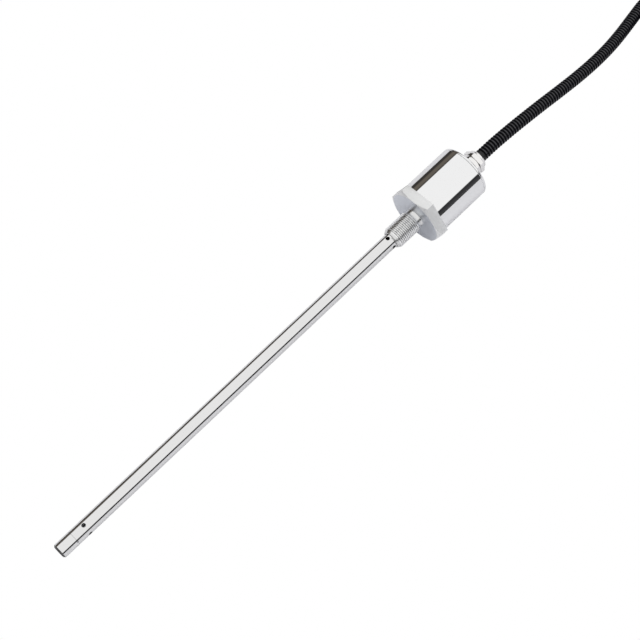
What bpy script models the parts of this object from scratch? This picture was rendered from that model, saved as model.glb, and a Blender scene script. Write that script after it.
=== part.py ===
"""Capacitive liquid level sensor: a coaxial probe under a hexagonal process flange, a round steel head,
and a corrugated conduit that ends in a moulded connector.

Metres, +Z up. The sensor lies on a floor at Z = 0, on its probe's tip and on one flat of its flange. The
probe points to -X and the head to +X. Sensor pieces are modelled along their own axis, with X = 0 at the
flange's seating face, and an empty tilts them all into the resting position.
"""
from math import atan, cos, pi, radians, sin, tan

import bmesh
import bpy
from mathutils import Vector

# Clearance between two pieces that seat on each other
FIT = 0.0003

# Probe
PROBE_LENGTH = 0.4188
TUBE_OD = 0.014
TUBE_WALL = 0.001
ROD_DIAMETER = 0.006
TIP_LENGTH = 0.0165
TIP_CHAMFER = 0.0016
TIP_BORE = 0.0100
TIP_SPIGOT = 0.006
TIP_RECESS = 0.0006
ROD_SEAT_DEPTH = 0.009
VENT_DIAMETER = 0.0038
VENT_FROM_TIP = 0.0288
VENT_FROM_BOSS = 0.0034
LOWER_VENT_TURN = 7.5
UPPER_VENT_TURN = 0.0
SPACER_LENGTH = 0.006
SPACER_NOTCH = 0.0024
SPACER_PLACES = (0.34, 0.67)

# Process flange with its thread, turned from hexagon bar
HEX_ACROSS_FLATS = 0.0525
FLANGE_THICKNESS = 0.010
FACE_DIAMETER = 0.052
HEX_CHAMFER_ANGLE = radians(30)
THREAD_DIAMETER = 0.020955
THREAD_LENGTH = 0.0255
THREAD_LEAD_IN = 0.0034
THREAD_LEAD_DEPTH = 0.0021
NECK_DIAMETER = 0.0184
NECK_LENGTH = 0.0045
TUBE_SOCKET_DEPTH = 0.014

# Feed-through of the rod
FEED_BORE = 0.013
FEED_HEAD_DIAMETER = 0.020
FEED_HEAD_DEPTH = 0.004
FEED_SEAL_SECTION = 0.0013
ROD_SEAL_SECTION = 0.0014
COLLAR_DIAMETER = 0.0096
COLLAR_LENGTH = 0.0025
WASHER_DIAMETER = 0.016
WASHER_THICKNESS = 0.0012
LUG_DIAMETER = 0.012
LUG_THICKNESS = 0.0008
LUG_TAB_WIDTH = 0.003
ROD_NUT_FLATS = 0.010
ROD_NUT_HEIGHT = 0.005
ROD_NUT_PROUD = 0.0015

# Head
HEAD_DIAMETER = 0.051
HEAD_WALL = 0.002
HEAD_LENGTH = 0.055
FLANGE_SPIGOT_HEIGHT = 0.004
SPIGOT_WALL = 0.0042
CAP_RIM = 0.0029
CAP_PLATE = 0.004
CAP_SPIGOT = 0.007
CAP_EDGE_RADIUS = 0.0024
CAP_SEAL_SECTION = 0.0018

# Circuit boards on their pillars
BOARD_MARGIN = 0.0025
BOARD_THICKNESS = 0.0016
PILLAR_MARGIN = 0.005
PILLAR_FLATS = 0.0055
PILLAR_HOLE = 0.0032
STUD_DIAMETER = 0.0024
STUD_DEPTH = 0.0052
LOWER_PILLAR = 0.0125
UPPER_PILLAR = 0.0115
SCREW_HEAD_DIAMETER = 0.0052
SCREW_HEAD_HEIGHT = 0.0019
CHIP_SIZE = (0.0017, 0.010, 0.010)
CONTROLLER_SIZE = (0.0019, 0.010, 0.010)
CAPACITOR_DIAMETER = 0.008
CAPACITOR_HEIGHT = 0.0072
LINK_WIDTH = 0.0102
LINK_BAR = 0.0025
LINK_PIN = 0.0008
TERMINAL_BLOCK = (0.0068, 0.0078, 0.0126)
LEAD_PITCH = 0.0040

# Middles of what the boards carry, as shares of a board's radius
CHIP_PLACE = (0.0, -0.19)
LINK_PLACE = (0.0, 0.405)
CONTROLLER_PLACE = (-0.41, 0.12)
CAPACITOR_PLACE = (0.14, -0.667)
TERMINAL_PLACE = (0.38, 0.25)

# Cable gland
GLAND_THREAD = 0.016
GLAND_FLATS = 0.020
GLAND_BASE = 0.0052
GLAND_NECK = 0.0168
GLAND_NECK_LENGTH = 0.0075
GLAND_NUT_LENGTH = 0.0120
GLAND_DOME = 0.0044
GLAND_SEAL_LENGTH = 0.0026
LOCK_NUT_HEIGHT = 0.0034
LOCK_NUT_FLATS = 0.021

# Conduit
CONDUIT_OD = 0.0118
CONDUIT_WALL = 0.0013
CUFF_INSIDE = 0.014
CUFF_OUTSIDE = 0.0038
TIE_THICKNESS = 0.0012
TIE_WIDTH = 0.0048
TIE_HEAD = (0.0056, 0.0080, 0.0050)
LEAD_DIAMETER = 0.0016
LEAD_CIRCLE = 0.0022

# Route of the conduit's free run: metres along X past the cuff, sideways, and the share of the cuff's
# height over the lying conduit that is left
RUN_ROUTE = (
    (0.000, 0.0000, 1.000),
    (0.016, 0.0000, 1.014),
    (0.036, -0.0002, 0.985),
    (0.056, -0.0005, 0.925),
    (0.078, -0.0009, 0.840),
    (0.102, -0.0012, 0.715),
    (0.128, -0.0009, 0.560),
    (0.154, 0.0007, 0.395),
    (0.178, 0.0036, 0.250),
    (0.200, 0.0076, 0.140),
    (0.221, 0.0120, 0.070),
)

# Hank that holds the rest of the conduit: one and a half turns, side by side on the floor. Its first lane
# starts past the cuff, and the tie holds the first lane and the last one.
HANK_PAST_CUFF = 0.254
HANK_SIDEWAYS = 0.016
HANK_LENGTH = 0.160
HANK_TURN = 0.0372
HANK_GAP = 0.0004
TIE_FROM_START = 0.014
TIE_SPAN = 0.035

# Route of the conduit's end inside the hank: metres along X from the hank's start, and sideways from its lane
END_ROUTE = (
    (0.014, 0.0000),
    (0.028, -0.0002),
    (0.040, -0.0020),
    (0.052, -0.0052),
    (0.064, -0.0076),
    (0.075, -0.0082),
)
CONNECTOR_SIDEWAYS = -0.014
TAIL_LEAD_LENGTH = 0.024

# Connector, along its own axis from the back of the moulded housing towards the mating end
REAR_SIZE = (0.0228, 0.0186)
REAR_LENGTH = 0.0165
SHELL_WIDTH = 0.028
SHELL_HEIGHT = 0.0216
SHELL_LENGTH = 0.022
SHELL_WALL = 0.0019
CAVITY_DEPTH = 0.0165
PANEL_WIDTH = 0.0125
PANEL_RISE = 0.0009
GUSSET_WIDTH = 0.0016
GUSSET_LENGTH = 0.0058
LATCH_WIDTH = 0.0068
LATCH_HOLE = 0.0026
BOOT_LENGTH = 0.0132
BOOT_NECK_LENGTH = 0.0132
BOOT_NECK_DIAMETER = 0.0062
BOOT_PLUG = 0.006
BLADE_SIZE = (0.0028, 0.0008)
BLADE_PITCH = 0.0062
BLADE_REACH = 0.0105
LOCK_PLATE = 0.0024

# Facets
FINE = 48
MEDIUM = 32
COARSE = 20

# Lengths and places that follow from the sizes above
BOSS_END = -(NECK_LENGTH + THREAD_LENGTH)
TUBE_TOP = BOSS_END + TUBE_SOCKET_DEPTH
HEX_CORNER = HEX_ACROSS_FLATS / 2 / cos(pi / 6)
FLAT_CHAMFER = (HEX_ACROSS_FLATS - FACE_DIAMETER) / 2 * tan(HEX_CHAMFER_ANGLE)
HEAD_END = FLANGE_THICKNESS + HEAD_LENGTH
HEAD_BORE = HEAD_DIAMETER - 2 * HEAD_WALL
CAP_SEAT = HEAD_END - CAP_RIM
BOARD_DIAMETER = HEAD_BORE - 2 * BOARD_MARGIN
PILLAR_CIRCLE = BOARD_DIAMETER - 2 * PILLAR_MARGIN
FEED_SEAT = FLANGE_THICKNESS - FEED_HEAD_DEPTH
WASHER_SEAT = FLANGE_THICKNESS + FIT
LUG_SEAT = WASHER_SEAT + WASHER_THICKNESS + FIT
ROD_NUT_SEAT = LUG_SEAT + LUG_THICKNESS + FIT
COLLAR_TOP = TUBE_TOP + FIT + 0.5 * COLLAR_LENGTH
LOWER_BOARD = FLANGE_THICKNESS + FIT + LOWER_PILLAR + FIT
UPPER_BOARD = LOWER_BOARD + BOARD_THICKNESS + FIT + UPPER_PILLAR + FIT
GLAND_SEAT = HEAD_END + FIT
GLAND_NUT_SEAT = GLAND_SEAT + GLAND_BASE + FIT
GLAND_END = GLAND_NUT_SEAT + GLAND_NUT_LENGTH
GLAND_BLANK = GLAND_FLATS / 2 / cos(pi / 6) + 0.0005
GLAND_FACE = GLAND_BLANK - GLAND_DOME
CUFF_END = GLAND_END + CUFF_OUTSIDE
CONDUIT_HOLE = CONDUIT_OD + 2 * FIT

# Resting position: the tip's lower edge and the flange's lower flat both touch the floor
TIP_CONTACT = -PROBE_LENGTH + TIP_CHAMFER
TILT = atan((HEX_ACROSS_FLATS - TUBE_OD) / 2 / (FLAT_CHAMFER - TIP_CONTACT))
SEAT_HEIGHT = HEX_ACROSS_FLATS / 2 * cos(TILT) - FLAT_CHAMFER * sin(TILT)
TIP_REACH = PROBE_LENGTH * cos(TILT) + (TUBE_OD / 2 - TIP_CHAMFER) * sin(TILT)
GLAND_REACH = GLAND_END * cos(TILT) + GLAND_FACE * sin(TILT)
SEAT_X = (TIP_REACH - GLAND_REACH) / 2

# The conduit's places in the world
CUFF_X = SEAT_X + (CUFF_END + FIT) * cos(TILT)
CUFF_Z = SEAT_HEIGHT + (CUFF_END + FIT) * sin(TILT)
LYING_Z = CONDUIT_OD / 2 + 0.0002
TIED_Z = TIE_THICKNESS + FIT + CONDUIT_OD / 2
HANK_X = CUFF_X + HANK_PAST_CUFF
LANE_PITCH = CONDUIT_OD + HANK_GAP
OUTER_TURN = HANK_TURN + LANE_PITCH / 2
INNER_LANE = HANK_SIDEWAYS - LANE_PITCH
BACK_LANE = HANK_SIDEWAYS - 2 * OUTER_TURN


def finish(name, colour, roughness, metallic):
    """A surface finish, as a Principled material."""
    made = bpy.data.materials.new(name)
    made.use_nodes = True
    shader = made.node_tree.nodes["Principled BSDF"]
    shader.inputs["Base Color"].default_value = (*colour, 1)
    shader.inputs["Roughness"].default_value = roughness
    shader.inputs["Metallic"].default_value = metallic
    return made


def place(name, data, surface, parent=None):
    """Links an object that holds the given mesh or curve, in the frame of its parent."""
    piece = bpy.data.objects.new(name, data)
    bpy.context.scene.collection.objects.link(piece)
    piece.parent = parent
    if surface:
        data.materials.append(surface)
    return piece


def solid(name, bm, surface, parent=None, crease=32):
    """Turns a closed bmesh into a named piece with outward faces and smooth round sides."""
    bmesh.ops.recalc_face_normals(bm, faces=bm.faces)
    mesh = bpy.data.meshes.new(name)
    bm.to_mesh(mesh)
    bm.free()
    mesh.shade_smooth()
    mesh.set_sharp_from_angle(angle=radians(crease))
    return place(name, mesh, surface, parent)


def spin_profile(bm, profile, sides, closed):
    """Spins a profile of (X, radius) points round the X axis."""
    line = [bm.verts.new((x, 0, r)) for x, r in profile]
    pairs = list(zip(line, line[1:]))
    if closed:
        pairs.append((line[-1], line[0]))
    edges = [bm.edges.new(pair) for pair in pairs]
    bmesh.ops.spin(bm, geom=line + edges, cent=(0, 0, 0), axis=(1, 0, 0), angle=2 * pi,
                   steps=sides, use_merge=True)
    bmesh.ops.remove_doubles(bm, verts=bm.verts, dist=1e-6)


def turned(name, profile, surface, parent=None, sides=MEDIUM, closed=True):
    """A turned piece. A closed profile leaves a bore; an open one starts and ends on the axis."""
    bm = bmesh.new()
    spin_profile(bm, profile, sides, closed)
    return solid(name, bm, surface, parent)


def add_prism(bm, outline, start, end):
    """Adds a prism with an outline of (Y, Z) points, from X = start to X = end."""
    face = bm.faces.new([bm.verts.new((start, y, z)) for y, z in outline])
    raised = bmesh.ops.extrude_face_region(bm, geom=[face])["geom"]
    moved = [v for v in raised if isinstance(v, bmesh.types.BMVert)]
    bmesh.ops.translate(bm, verts=moved, vec=(end - start, 0, 0))


def prism(name, outline, start, end, surface, parent=None):
    """A straight prism along X."""
    bm = bmesh.new()
    add_prism(bm, outline, start, end)
    return solid(name, bm, surface, parent)


def polygon(across_flats, count=6, turn=0.0, middle=(0.0, 0.0)):
    """The corners of a regular polygon. With no turn a hexagon has a flat below and corners at the sides."""
    reach = across_flats / 2 / cos(pi / count)
    return [
        (middle[0] + reach * cos(turn + 2 * pi * i / count), middle[1] + reach * sin(turn + 2 * pi * i / count))
        for i in range(count)
    ]


def circle(diameter, count, middle=(0.0, 0.0)):
    """A round outline with the given diameter across its corners."""
    return polygon(diameter * cos(pi / count), count, 0.0, middle)


def rectangle(width, height, middle=(0.0, 0.0)):
    """A rectangle of (Y, Z) points."""
    y, z = width / 2, height / 2
    return [(middle[0] + a, middle[1] + b) for a, b in ((-y, -z), (y, -z), (y, z), (-y, z))]


def rounded(width, height, radius, steps=4):
    """A rectangle with round corners."""
    corners = ((1, 1, 0), (-1, 1, 90), (-1, -1, 180), (1, -1, 270))
    return [
        (a * (width / 2 - radius) + radius * cos(radians(start + 90 * i / steps)),
         b * (height / 2 - radius) + radius * sin(radians(start + 90 * i / steps)))
        for a, b, start in corners
        for i in range(steps + 1)
    ]


def loft(name, sections, surface, parent=None):
    """A closed skin through sections (X, outline) that have the same number of points."""
    bm = bmesh.new()
    loops = [[bm.verts.new((x, y, z)) for y, z in outline] for x, outline in sections]
    for one, two in zip(loops, loops[1:]):
        for i in range(len(one)):
            j = (i + 1) % len(one)
            bm.faces.new((one[i], one[j], two[j], two[i]))
    bm.faces.new(loops[0])
    bm.faces.new(loops[-1])
    return solid(name, bm, surface, parent)


def arc(centre_x, centre_r, radius, start, end, steps):
    """Profile points on an arc, by angle in degrees from the +X direction."""
    return [
        (centre_x + radius * cos(radians(start + (end - start) * i / steps)),
         centre_r + radius * sin(radians(start + (end - start) * i / steps)))
        for i in range(steps + 1)
    ]


def combine(piece, tool, operation="DIFFERENCE"):
    """Cuts, joins or trims a piece by a tool that is itself left out of the model."""
    step = piece.modifiers.new(tool.name, "BOOLEAN")
    step.operation = operation
    step.object = tool
    step.solver = "EXACT"
    tool.hide_render = True
    tool.display_type = "WIRE"


def seal_ring(name, seat_radius, section, middle, surface, parent):
    """An O-ring of round section that clears its groove's floor, with its middle at X = middle."""
    centre = seat_radius + FIT + section / 2
    return turned(name, arc(middle, centre, section / 2, 0, 360, 10)[:-1], surface, parent, MEDIUM)


def smooth_line(points, step):
    """Points about one step apart on a Catmull-Rom curve through the given points."""
    knots = [Vector(p) for p in points]
    ends = [2 * knots[0] - knots[1], *knots, 2 * knots[-1] - knots[-2]]
    fine = []
    for a, b, c, d in zip(ends, ends[1:], ends[2:], ends[3:]):
        for i in range(12):
            t = i / 12
            bend = (2 * a - 5 * b + 4 * c - d) * t * t + (3 * b - a - 3 * c + d) * t ** 3
            fine.append(0.5 * (2 * b + (c - a) * t + bend))
    fine.append(knots[-1])
    lengths = [0.0]
    for a, b in zip(fine, fine[1:]):
        lengths.append(lengths[-1] + (b - a).length)
    count = max(2, round(lengths[-1] / step))
    line, at = [], 0
    for k in range(count + 1):
        wanted = lengths[-1] * k / count
        while at < len(fine) - 2 and lengths[at + 1] < wanted:
            at += 1
        share = (wanted - lengths[at]) / (lengths[at + 1] - lengths[at])
        line.append(fine[at].lerp(fine[at + 1], min(1.0, share)))
    return line


def tube(name, points, diameter, surface, parent=None, roundness=3):
    """A round cord or wire along the given points, with closed ends."""
    curve = bpy.data.curves.new(name, "CURVE")
    curve.dimensions = "3D"
    curve.bevel_depth = diameter / 2
    curve.bevel_resolution = roundness
    curve.use_fill_caps = True
    spline = curve.splines.new("POLY")
    spline.points.add(len(points) - 1)
    for point, place_ in zip(spline.points, points):
        point.co = (*place_, 1)
    return place(name, curve, surface, parent)


for old in list(bpy.data.objects):
    bpy.data.objects.remove(old)

POLISHED = finish("polished_steel", (0.80, 0.80, 0.81), 0.12, 1.0)
SATIN = finish("satin_steel", (0.72, 0.72, 0.73), 0.32, 1.0)
NICKEL = finish("nickel_plated_brass", (0.78, 0.77, 0.74), 0.15, 1.0)
WHITE_PLASTIC = finish("white_insulator", (0.86, 0.86, 0.83), 0.45, 0.0)
BLACK_RUBBER = finish("black_rubber", (0.025, 0.025, 0.028), 0.6, 0.0)
BLACK_PLASTIC = finish("black_insulator", (0.02, 0.02, 0.022), 0.45, 0.0)
CONDUIT_BLACK = finish("conduit_black", (0.018, 0.018, 0.022), 0.5, 0.0)
BOARD_GREEN = finish("board_green", (0.02, 0.16, 0.07), 0.4, 0.0)
CHIP_BLACK = finish("chip_black", (0.03, 0.03, 0.03), 0.35, 0.0)
TINNED = finish("tinned_copper", (0.75, 0.70, 0.62), 0.25, 1.0)
BLOCK_GREEN = finish("block_green", (0.05, 0.30, 0.12), 0.4, 0.0)
GREY_SHELL = finish("grey_connector", (0.60, 0.64, 0.61), 0.45, 0.0)
LOCK_ORANGE = finish("lock_orange", (0.75, 0.25, 0.06), 0.45, 0.0)
BROWN_LEAD = finish("brown_lead", (0.20, 0.075, 0.03), 0.45, 0.0)
YELLOW_LEAD = finish("yellow_lead", (0.70, 0.42, 0.05), 0.45, 0.0)
BLACK_LEAD = finish("black_lead", (0.02, 0.02, 0.02), 0.45, 0.0)
LEADS = (("supply", BROWN_LEAD), ("signal", YELLOW_LEAD), ("ground", BLACK_LEAD))

sensor = place("sensor_axis", None, None)
sensor.location = (SEAT_X, 0, SEAT_HEIGHT)
sensor.rotation_euler = (0, -TILT, 0)


def cross_drill(name, middle, first):
    """Two holes drilled right through the tube, square to each other, as one crossed tool turned by first."""
    bm = bmesh.new()
    for turn in (first, first + 90.0):
        arm = bmesh.new()
        add_prism(arm, circle(VENT_DIAMETER, 12), -TUBE_OD, TUBE_OD)
        bmesh.ops.rotate(arm, verts=arm.verts, matrix=Vector((1, 0, 0)).rotation_difference(
            Vector((0, cos(radians(turn)), sin(radians(turn))))).to_matrix())
        bmesh.ops.translate(arm, verts=arm.verts, vec=(middle, 0, 0))
        scratch = bpy.data.meshes.new(name)
        bmesh.ops.recalc_face_normals(arm, faces=arm.faces)
        arm.to_mesh(scratch)
        arm.free()
        bm.from_mesh(scratch)
        bpy.data.meshes.remove(scratch)
    mesh = bpy.data.meshes.new(name)
    bm.to_mesh(mesh)
    bm.free()
    return place(name, mesh, None, sensor)


def probe_tube():
    """Outer electrode: a drawn tube with four vents at each end, fixed in the flange's socket."""
    outer, inner = TUBE_OD / 2, TUBE_OD / 2 - TUBE_WALL
    start, end = -PROBE_LENGTH + TIP_LENGTH + FIT, TUBE_TOP - FIT
    body = turned("probe_tube", [(start, inner), (start, outer), (end, outer), (end, inner)], POLISHED,
                  sensor, FINE)
    combine(body, cross_drill("lower_vents", -PROBE_LENGTH + VENT_FROM_TIP, LOWER_VENT_TURN))
    combine(body, cross_drill("upper_vents", BOSS_END - VENT_FROM_BOSS, UPPER_VENT_TURN))


def tip_bush():
    """Turned sleeve that closes the probe: a chamfered end, and a spigot inside the tube."""
    end, seat = -PROBE_LENGTH, -PROBE_LENGTH + TIP_LENGTH
    outer, spigot, bore = TUBE_OD / 2, TUBE_OD / 2 - TUBE_WALL - FIT, TIP_BORE / 2
    turned("tip_bush", [(end, bore), (end, outer - TIP_CHAMFER), (end + TIP_CHAMFER, outer), (seat, outer),
                        (seat, spigot), (seat + TIP_SPIGOT, spigot), (seat + TIP_SPIGOT, bore)],
           POLISHED, sensor, FINE)


def tip_plug():
    """Insulating plug in the tip bush, with a blind seat for the rod and a head on the spigot's end."""
    end = -PROBE_LENGTH + TIP_RECESS
    top = -PROBE_LENGTH + TIP_LENGTH + TIP_SPIGOT + FIT
    head_top = top + 0.5 * TIP_SPIGOT
    plug, head = TIP_BORE / 2 - FIT, TUBE_OD / 2 - TUBE_WALL - FIT
    seat = ROD_DIAMETER / 2 + FIT
    turned("tip_insulator", [(end, 0), (end, plug), (top, plug), (top, head), (head_top, head),
                             (head_top, seat), (head_top - ROD_SEAT_DEPTH, seat),
                             (head_top - ROD_SEAT_DEPTH, 0)],
           BLACK_PLASTIC, sensor, MEDIUM, closed=False)
    return head_top - ROD_SEAT_DEPTH


def inner_electrode(rod_start):
    """The rod: its foot in the tip plug, a collar under the feed-through, and a stem for the nut."""
    radius = ROD_DIAMETER / 2
    top = ROD_NUT_SEAT + ROD_NUT_HEIGHT + ROD_NUT_PROUD
    start = rod_start + FIT
    turned("inner_electrode", [(start, 0), (start, radius - TIP_RECESS), (start + TIP_RECESS, radius),
                               (COLLAR_TOP - COLLAR_LENGTH, radius),
                               (COLLAR_TOP - COLLAR_LENGTH, COLLAR_DIAMETER / 2),
                               (COLLAR_TOP, COLLAR_DIAMETER / 2), (COLLAR_TOP, radius),
                               (top - TIP_RECESS, radius), (top, radius - TIP_RECESS), (top, 0)],
           SATIN, sensor, 24, closed=False)


def spacers():
    """Notched rings that keep the rod in the middle of the tube and let the liquid past."""
    outer = TUBE_OD / 2 - TUBE_WALL - FIT
    bore = ROD_DIAMETER / 2 + FIT
    free = PROBE_LENGTH + BOSS_END
    for number, share in enumerate(SPACER_PLACES, 1):
        start = -PROBE_LENGTH + share * free
        end = start + SPACER_LENGTH
        bm = bmesh.new()
        for i in range(4):
            middle = (outer * cos(pi / 4 + i * pi / 2), outer * sin(pi / 4 + i * pi / 2))
            add_prism(bm, circle(SPACER_NOTCH, 10, middle), start - FIT, end + FIT)
        ring = turned(f"spacer_{number}", [(start, bore), (start, outer), (end, outer), (end, bore)],
                      WHITE_PLASTIC, sensor, 24)
        combine(ring, solid(f"spacer_{number}_notches", bm, None, sensor))


def process_flange():
    """Hexagon flange with its relief neck, pipe thread blank, stepped bore and rear spigot."""
    thread, neck = THREAD_DIAMETER / 2, NECK_DIAMETER / 2
    face, blank = FACE_DIAMETER / 2, HEX_CORNER + 0.001
    spigot = HEAD_BORE / 2 - FIT
    back, spigot_top = FLANGE_THICKNESS, FLANGE_THICKNESS + FLANGE_SPIGOT_HEIGHT
    chamfer = (blank - face) * tan(HEX_CHAMFER_ANGLE)
    socket, feed, head = TUBE_OD / 2 + FIT, FEED_BORE / 2, FEED_HEAD_DIAMETER / 2
    profile = [
        (BOSS_END, socket), (BOSS_END, thread - THREAD_LEAD_DEPTH), (BOSS_END + THREAD_LEAD_IN, thread),
        (-NECK_LENGTH - (thread - neck), thread), (-NECK_LENGTH, neck), (0, neck), (0, face),
        (chamfer, blank), (back, blank), (back, spigot), (spigot_top, spigot),
        (spigot_top, spigot - SPIGOT_WALL), (back, spigot - SPIGOT_WALL), (back, head),
        (FEED_SEAT, head), (FEED_SEAT, feed), (TUBE_TOP, feed), (TUBE_TOP, socket),
    ]
    body = turned("process_flange", profile, SATIN, sensor, FINE)
    hexagon = prism("flange_hexagon", polygon(HEX_ACROSS_FLATS), BOSS_END - 0.001, spigot_top + 0.001, None,
                    sensor)
    combine(body, hexagon, "INTERSECT")
    bm = bmesh.new()
    for middle in pillar_places():
        add_prism(bm, circle(PILLAR_HOLE, 10, middle), back - STUD_DEPTH - 3 * FIT, spigot_top)
    combine(body, solid("flange_stud_holes", bm, None, sensor))


def pillar_places():
    """Middles of the three board pillars."""
    angles = [radians(90 + 120 * i) for i in range(3)]
    return [(PILLAR_CIRCLE / 2 * cos(a), PILLAR_CIRCLE / 2 * sin(a)) for a in angles]


def feed_through():
    """Insulating bush that carries the rod through the flange, with its two seals."""
    stem, head = FEED_BORE / 2 - FIT, FEED_HEAD_DIAMETER / 2 - FIT
    hole = ROD_DIAMETER / 2 + FIT
    bottom, top, shoulder = COLLAR_TOP + FIT, FLANGE_THICKNESS, FEED_SEAT + FIT
    groove_floor = FEED_BORE / 2 - 2 * FIT - FEED_SEAL_SECTION
    groove_width = FEED_SEAL_SECTION + 2 * FIT
    groove_start = (bottom + shoulder) / 2
    recess = ROD_DIAMETER / 2 + 2 * FIT + ROD_SEAL_SECTION
    recess_floor = top - ROD_SEAL_SECTION - FIT
    turned("feed_through_bush", [
        (bottom, hole), (bottom, stem), (groove_start, stem), (groove_start, groove_floor),
        (groove_start + groove_width, groove_floor), (groove_start + groove_width, stem), (shoulder, stem),
        (shoulder, head), (top, head), (top, recess), (recess_floor, recess), (recess_floor, hole),
    ], WHITE_PLASTIC, sensor, MEDIUM)
    seal_ring("bush_seal", groove_floor, FEED_SEAL_SECTION, groove_start + groove_width / 2, BLACK_RUBBER,
              sensor)
    seal_ring("rod_seal", ROD_DIAMETER / 2, ROD_SEAL_SECTION, recess_floor + FIT / 2 + ROD_SEAL_SECTION / 2,
              BLACK_RUBBER, sensor)


def rod_clamp():
    """Washer, contact lug and nut on the rod's stem. The lug's tab rises to the lower board."""
    hole = ROD_DIAMETER / 2 + FIT
    turned("clamp_washer", [(WASHER_SEAT, hole), (WASHER_SEAT, WASHER_DIAMETER / 2),
                            (WASHER_SEAT + WASHER_THICKNESS, WASHER_DIAMETER / 2),
                            (WASHER_SEAT + WASHER_THICKNESS, hole)], SATIN, sensor, 24)
    end = LUG_SEAT + LUG_THICKNESS
    lug = turned("contact_lug", [(LUG_SEAT, hole), (LUG_SEAT, LUG_DIAMETER / 2), (end, LUG_DIAMETER / 2),
                                 (end, hole)], TINNED, sensor, 24)
    reach = LUG_DIAMETER / 2 + LUG_TAB_WIDTH
    root = LUG_DIAMETER / 2 - LUG_THICKNESS
    bm = bmesh.new()
    add_prism(bm, rectangle(LUG_TAB_WIDTH, reach - root, (0, -(reach + root) / 2)), LUG_SEAT, end)
    tongue = solid("lug_tongue", bm, None, sensor)
    bm = bmesh.new()
    add_prism(bm, rectangle(LUG_TAB_WIDTH, LUG_THICKNESS, (0, LUG_THICKNESS / 2 - reach)), LUG_SEAT,
              LOWER_BOARD - FIT)
    tab = solid("lug_tab", bm, None, sensor)
    combine(lug, tongue, "UNION")
    combine(lug, tab, "UNION")
    nut = turned("rod_nut", [(ROD_NUT_SEAT, hole), (ROD_NUT_SEAT, ROD_NUT_FLATS),
                             (ROD_NUT_SEAT + ROD_NUT_HEIGHT, ROD_NUT_FLATS),
                             (ROD_NUT_SEAT + ROD_NUT_HEIGHT, hole)], SATIN, sensor, 24)
    shape = prism("rod_nut_hexagon", polygon(ROD_NUT_FLATS), ROD_NUT_SEAT - 0.001,
                  ROD_NUT_SEAT + ROD_NUT_HEIGHT + 0.001, None, sensor)
    combine(nut, shape, "INTERSECT")


def head_housing():
    """Steel tube of the head, welded to the flange over its spigot."""
    start, end = FLANGE_THICKNESS + FIT, CAP_SEAT - FIT
    turned("head_housing", [(start, HEAD_BORE / 2), (start, HEAD_DIAMETER / 2), (end, HEAD_DIAMETER / 2),
                            (end, HEAD_BORE / 2)], POLISHED, sensor, FINE)


def end_cap():
    """Turned cap with a round edge, a spigot with a seal groove, and the gland's hole."""
    rim, spigot, hole = HEAD_DIAMETER / 2, HEAD_BORE / 2 - FIT, GLAND_THREAD / 2
    start = CAP_SEAT - CAP_SPIGOT
    floor = HEAD_BORE / 2 - 2 * FIT - CAP_SEAL_SECTION
    width = CAP_SEAL_SECTION + 2 * FIT
    groove = start + (CAP_SPIGOT - width) / 2
    inner = spigot - SPIGOT_WALL
    edge = arc(HEAD_END - CAP_EDGE_RADIUS, rim - CAP_EDGE_RADIUS, CAP_EDGE_RADIUS, 90, 0, 5)
    turned("end_cap", [
        (start, inner), (start, spigot), (groove, spigot), (groove, floor), (groove + width, floor),
        (groove + width, spigot), (CAP_SEAT, spigot), (CAP_SEAT, rim), *edge, (HEAD_END, hole),
        (HEAD_END - CAP_PLATE, hole), (HEAD_END - CAP_PLATE, inner),
    ], POLISHED, sensor, FINE)
    seal_ring("cap_seal", floor, CAP_SEAL_SECTION, groove + width / 2, BLACK_RUBBER, sensor)


def stud(bm, middle, start, end, diameter):
    """Adds a round stud to a bmesh."""
    add_prism(bm, circle(diameter, 10, middle), start, end)


def board_pillars():
    """Hexagon pillars. The lower ones have a stud at each end, the upper ones are tapped right through."""
    lower_start, lower_end = FLANGE_THICKNESS + FIT, LOWER_BOARD - FIT
    upper_start, upper_end = LOWER_BOARD + BOARD_THICKNESS + FIT, UPPER_BOARD - FIT
    for number, middle in enumerate(pillar_places(), 1):
        lower = prism(f"lower_pillar_{number}", polygon(PILLAR_FLATS, middle=middle), lower_start, lower_end,
                      NICKEL, sensor)
        bm = bmesh.new()
        stud(bm, middle, lower_start - STUD_DEPTH, upper_start + STUD_DEPTH, STUD_DIAMETER)
        combine(lower, solid(f"lower_pillar_{number}_stud", bm, None, sensor), "UNION")
        upper = prism(f"upper_pillar_{number}", polygon(PILLAR_FLATS, middle=middle), upper_start, upper_end,
                      NICKEL, sensor)
        bm = bmesh.new()
        stud(bm, middle, upper_start - FIT, upper_end + FIT, PILLAR_HOLE)
        combine(upper, solid(f"upper_pillar_{number}_hole", bm, None, sensor))


def boards():
    """Two round circuit boards with holes over the pillars, and the screws of the upper one."""
    for name, start in (("measuring_board", LOWER_BOARD), ("output_board", UPPER_BOARD)):
        board = prism(name, circle(BOARD_DIAMETER, 36), start, start + BOARD_THICKNESS, BOARD_GREEN, sensor)
        bm = bmesh.new()
        for middle in pillar_places():
            stud(bm, middle, start - FIT, start + BOARD_THICKNESS + FIT, PILLAR_HOLE)
        combine(board, solid(f"{name}_holes", bm, None, sensor))
    top = UPPER_BOARD + BOARD_THICKNESS + FIT
    shank_end = UPPER_BOARD - FIT - STUD_DEPTH
    radius, head = STUD_DIAMETER / 2, SCREW_HEAD_DIAMETER / 2
    for number, (y, z) in enumerate(pillar_places(), 1):
        screw = turned(f"board_screw_{number}", [
            (shank_end, 0), (shank_end, radius), (top, radius), (top, head),
            (top + 0.6 * SCREW_HEAD_HEIGHT, head), (top + SCREW_HEAD_HEIGHT, 0.6 * head),
            (top + SCREW_HEAD_HEIGHT, 0),
        ], NICKEL, sensor, 12, closed=False)
        screw.location = (0, y, z)


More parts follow.
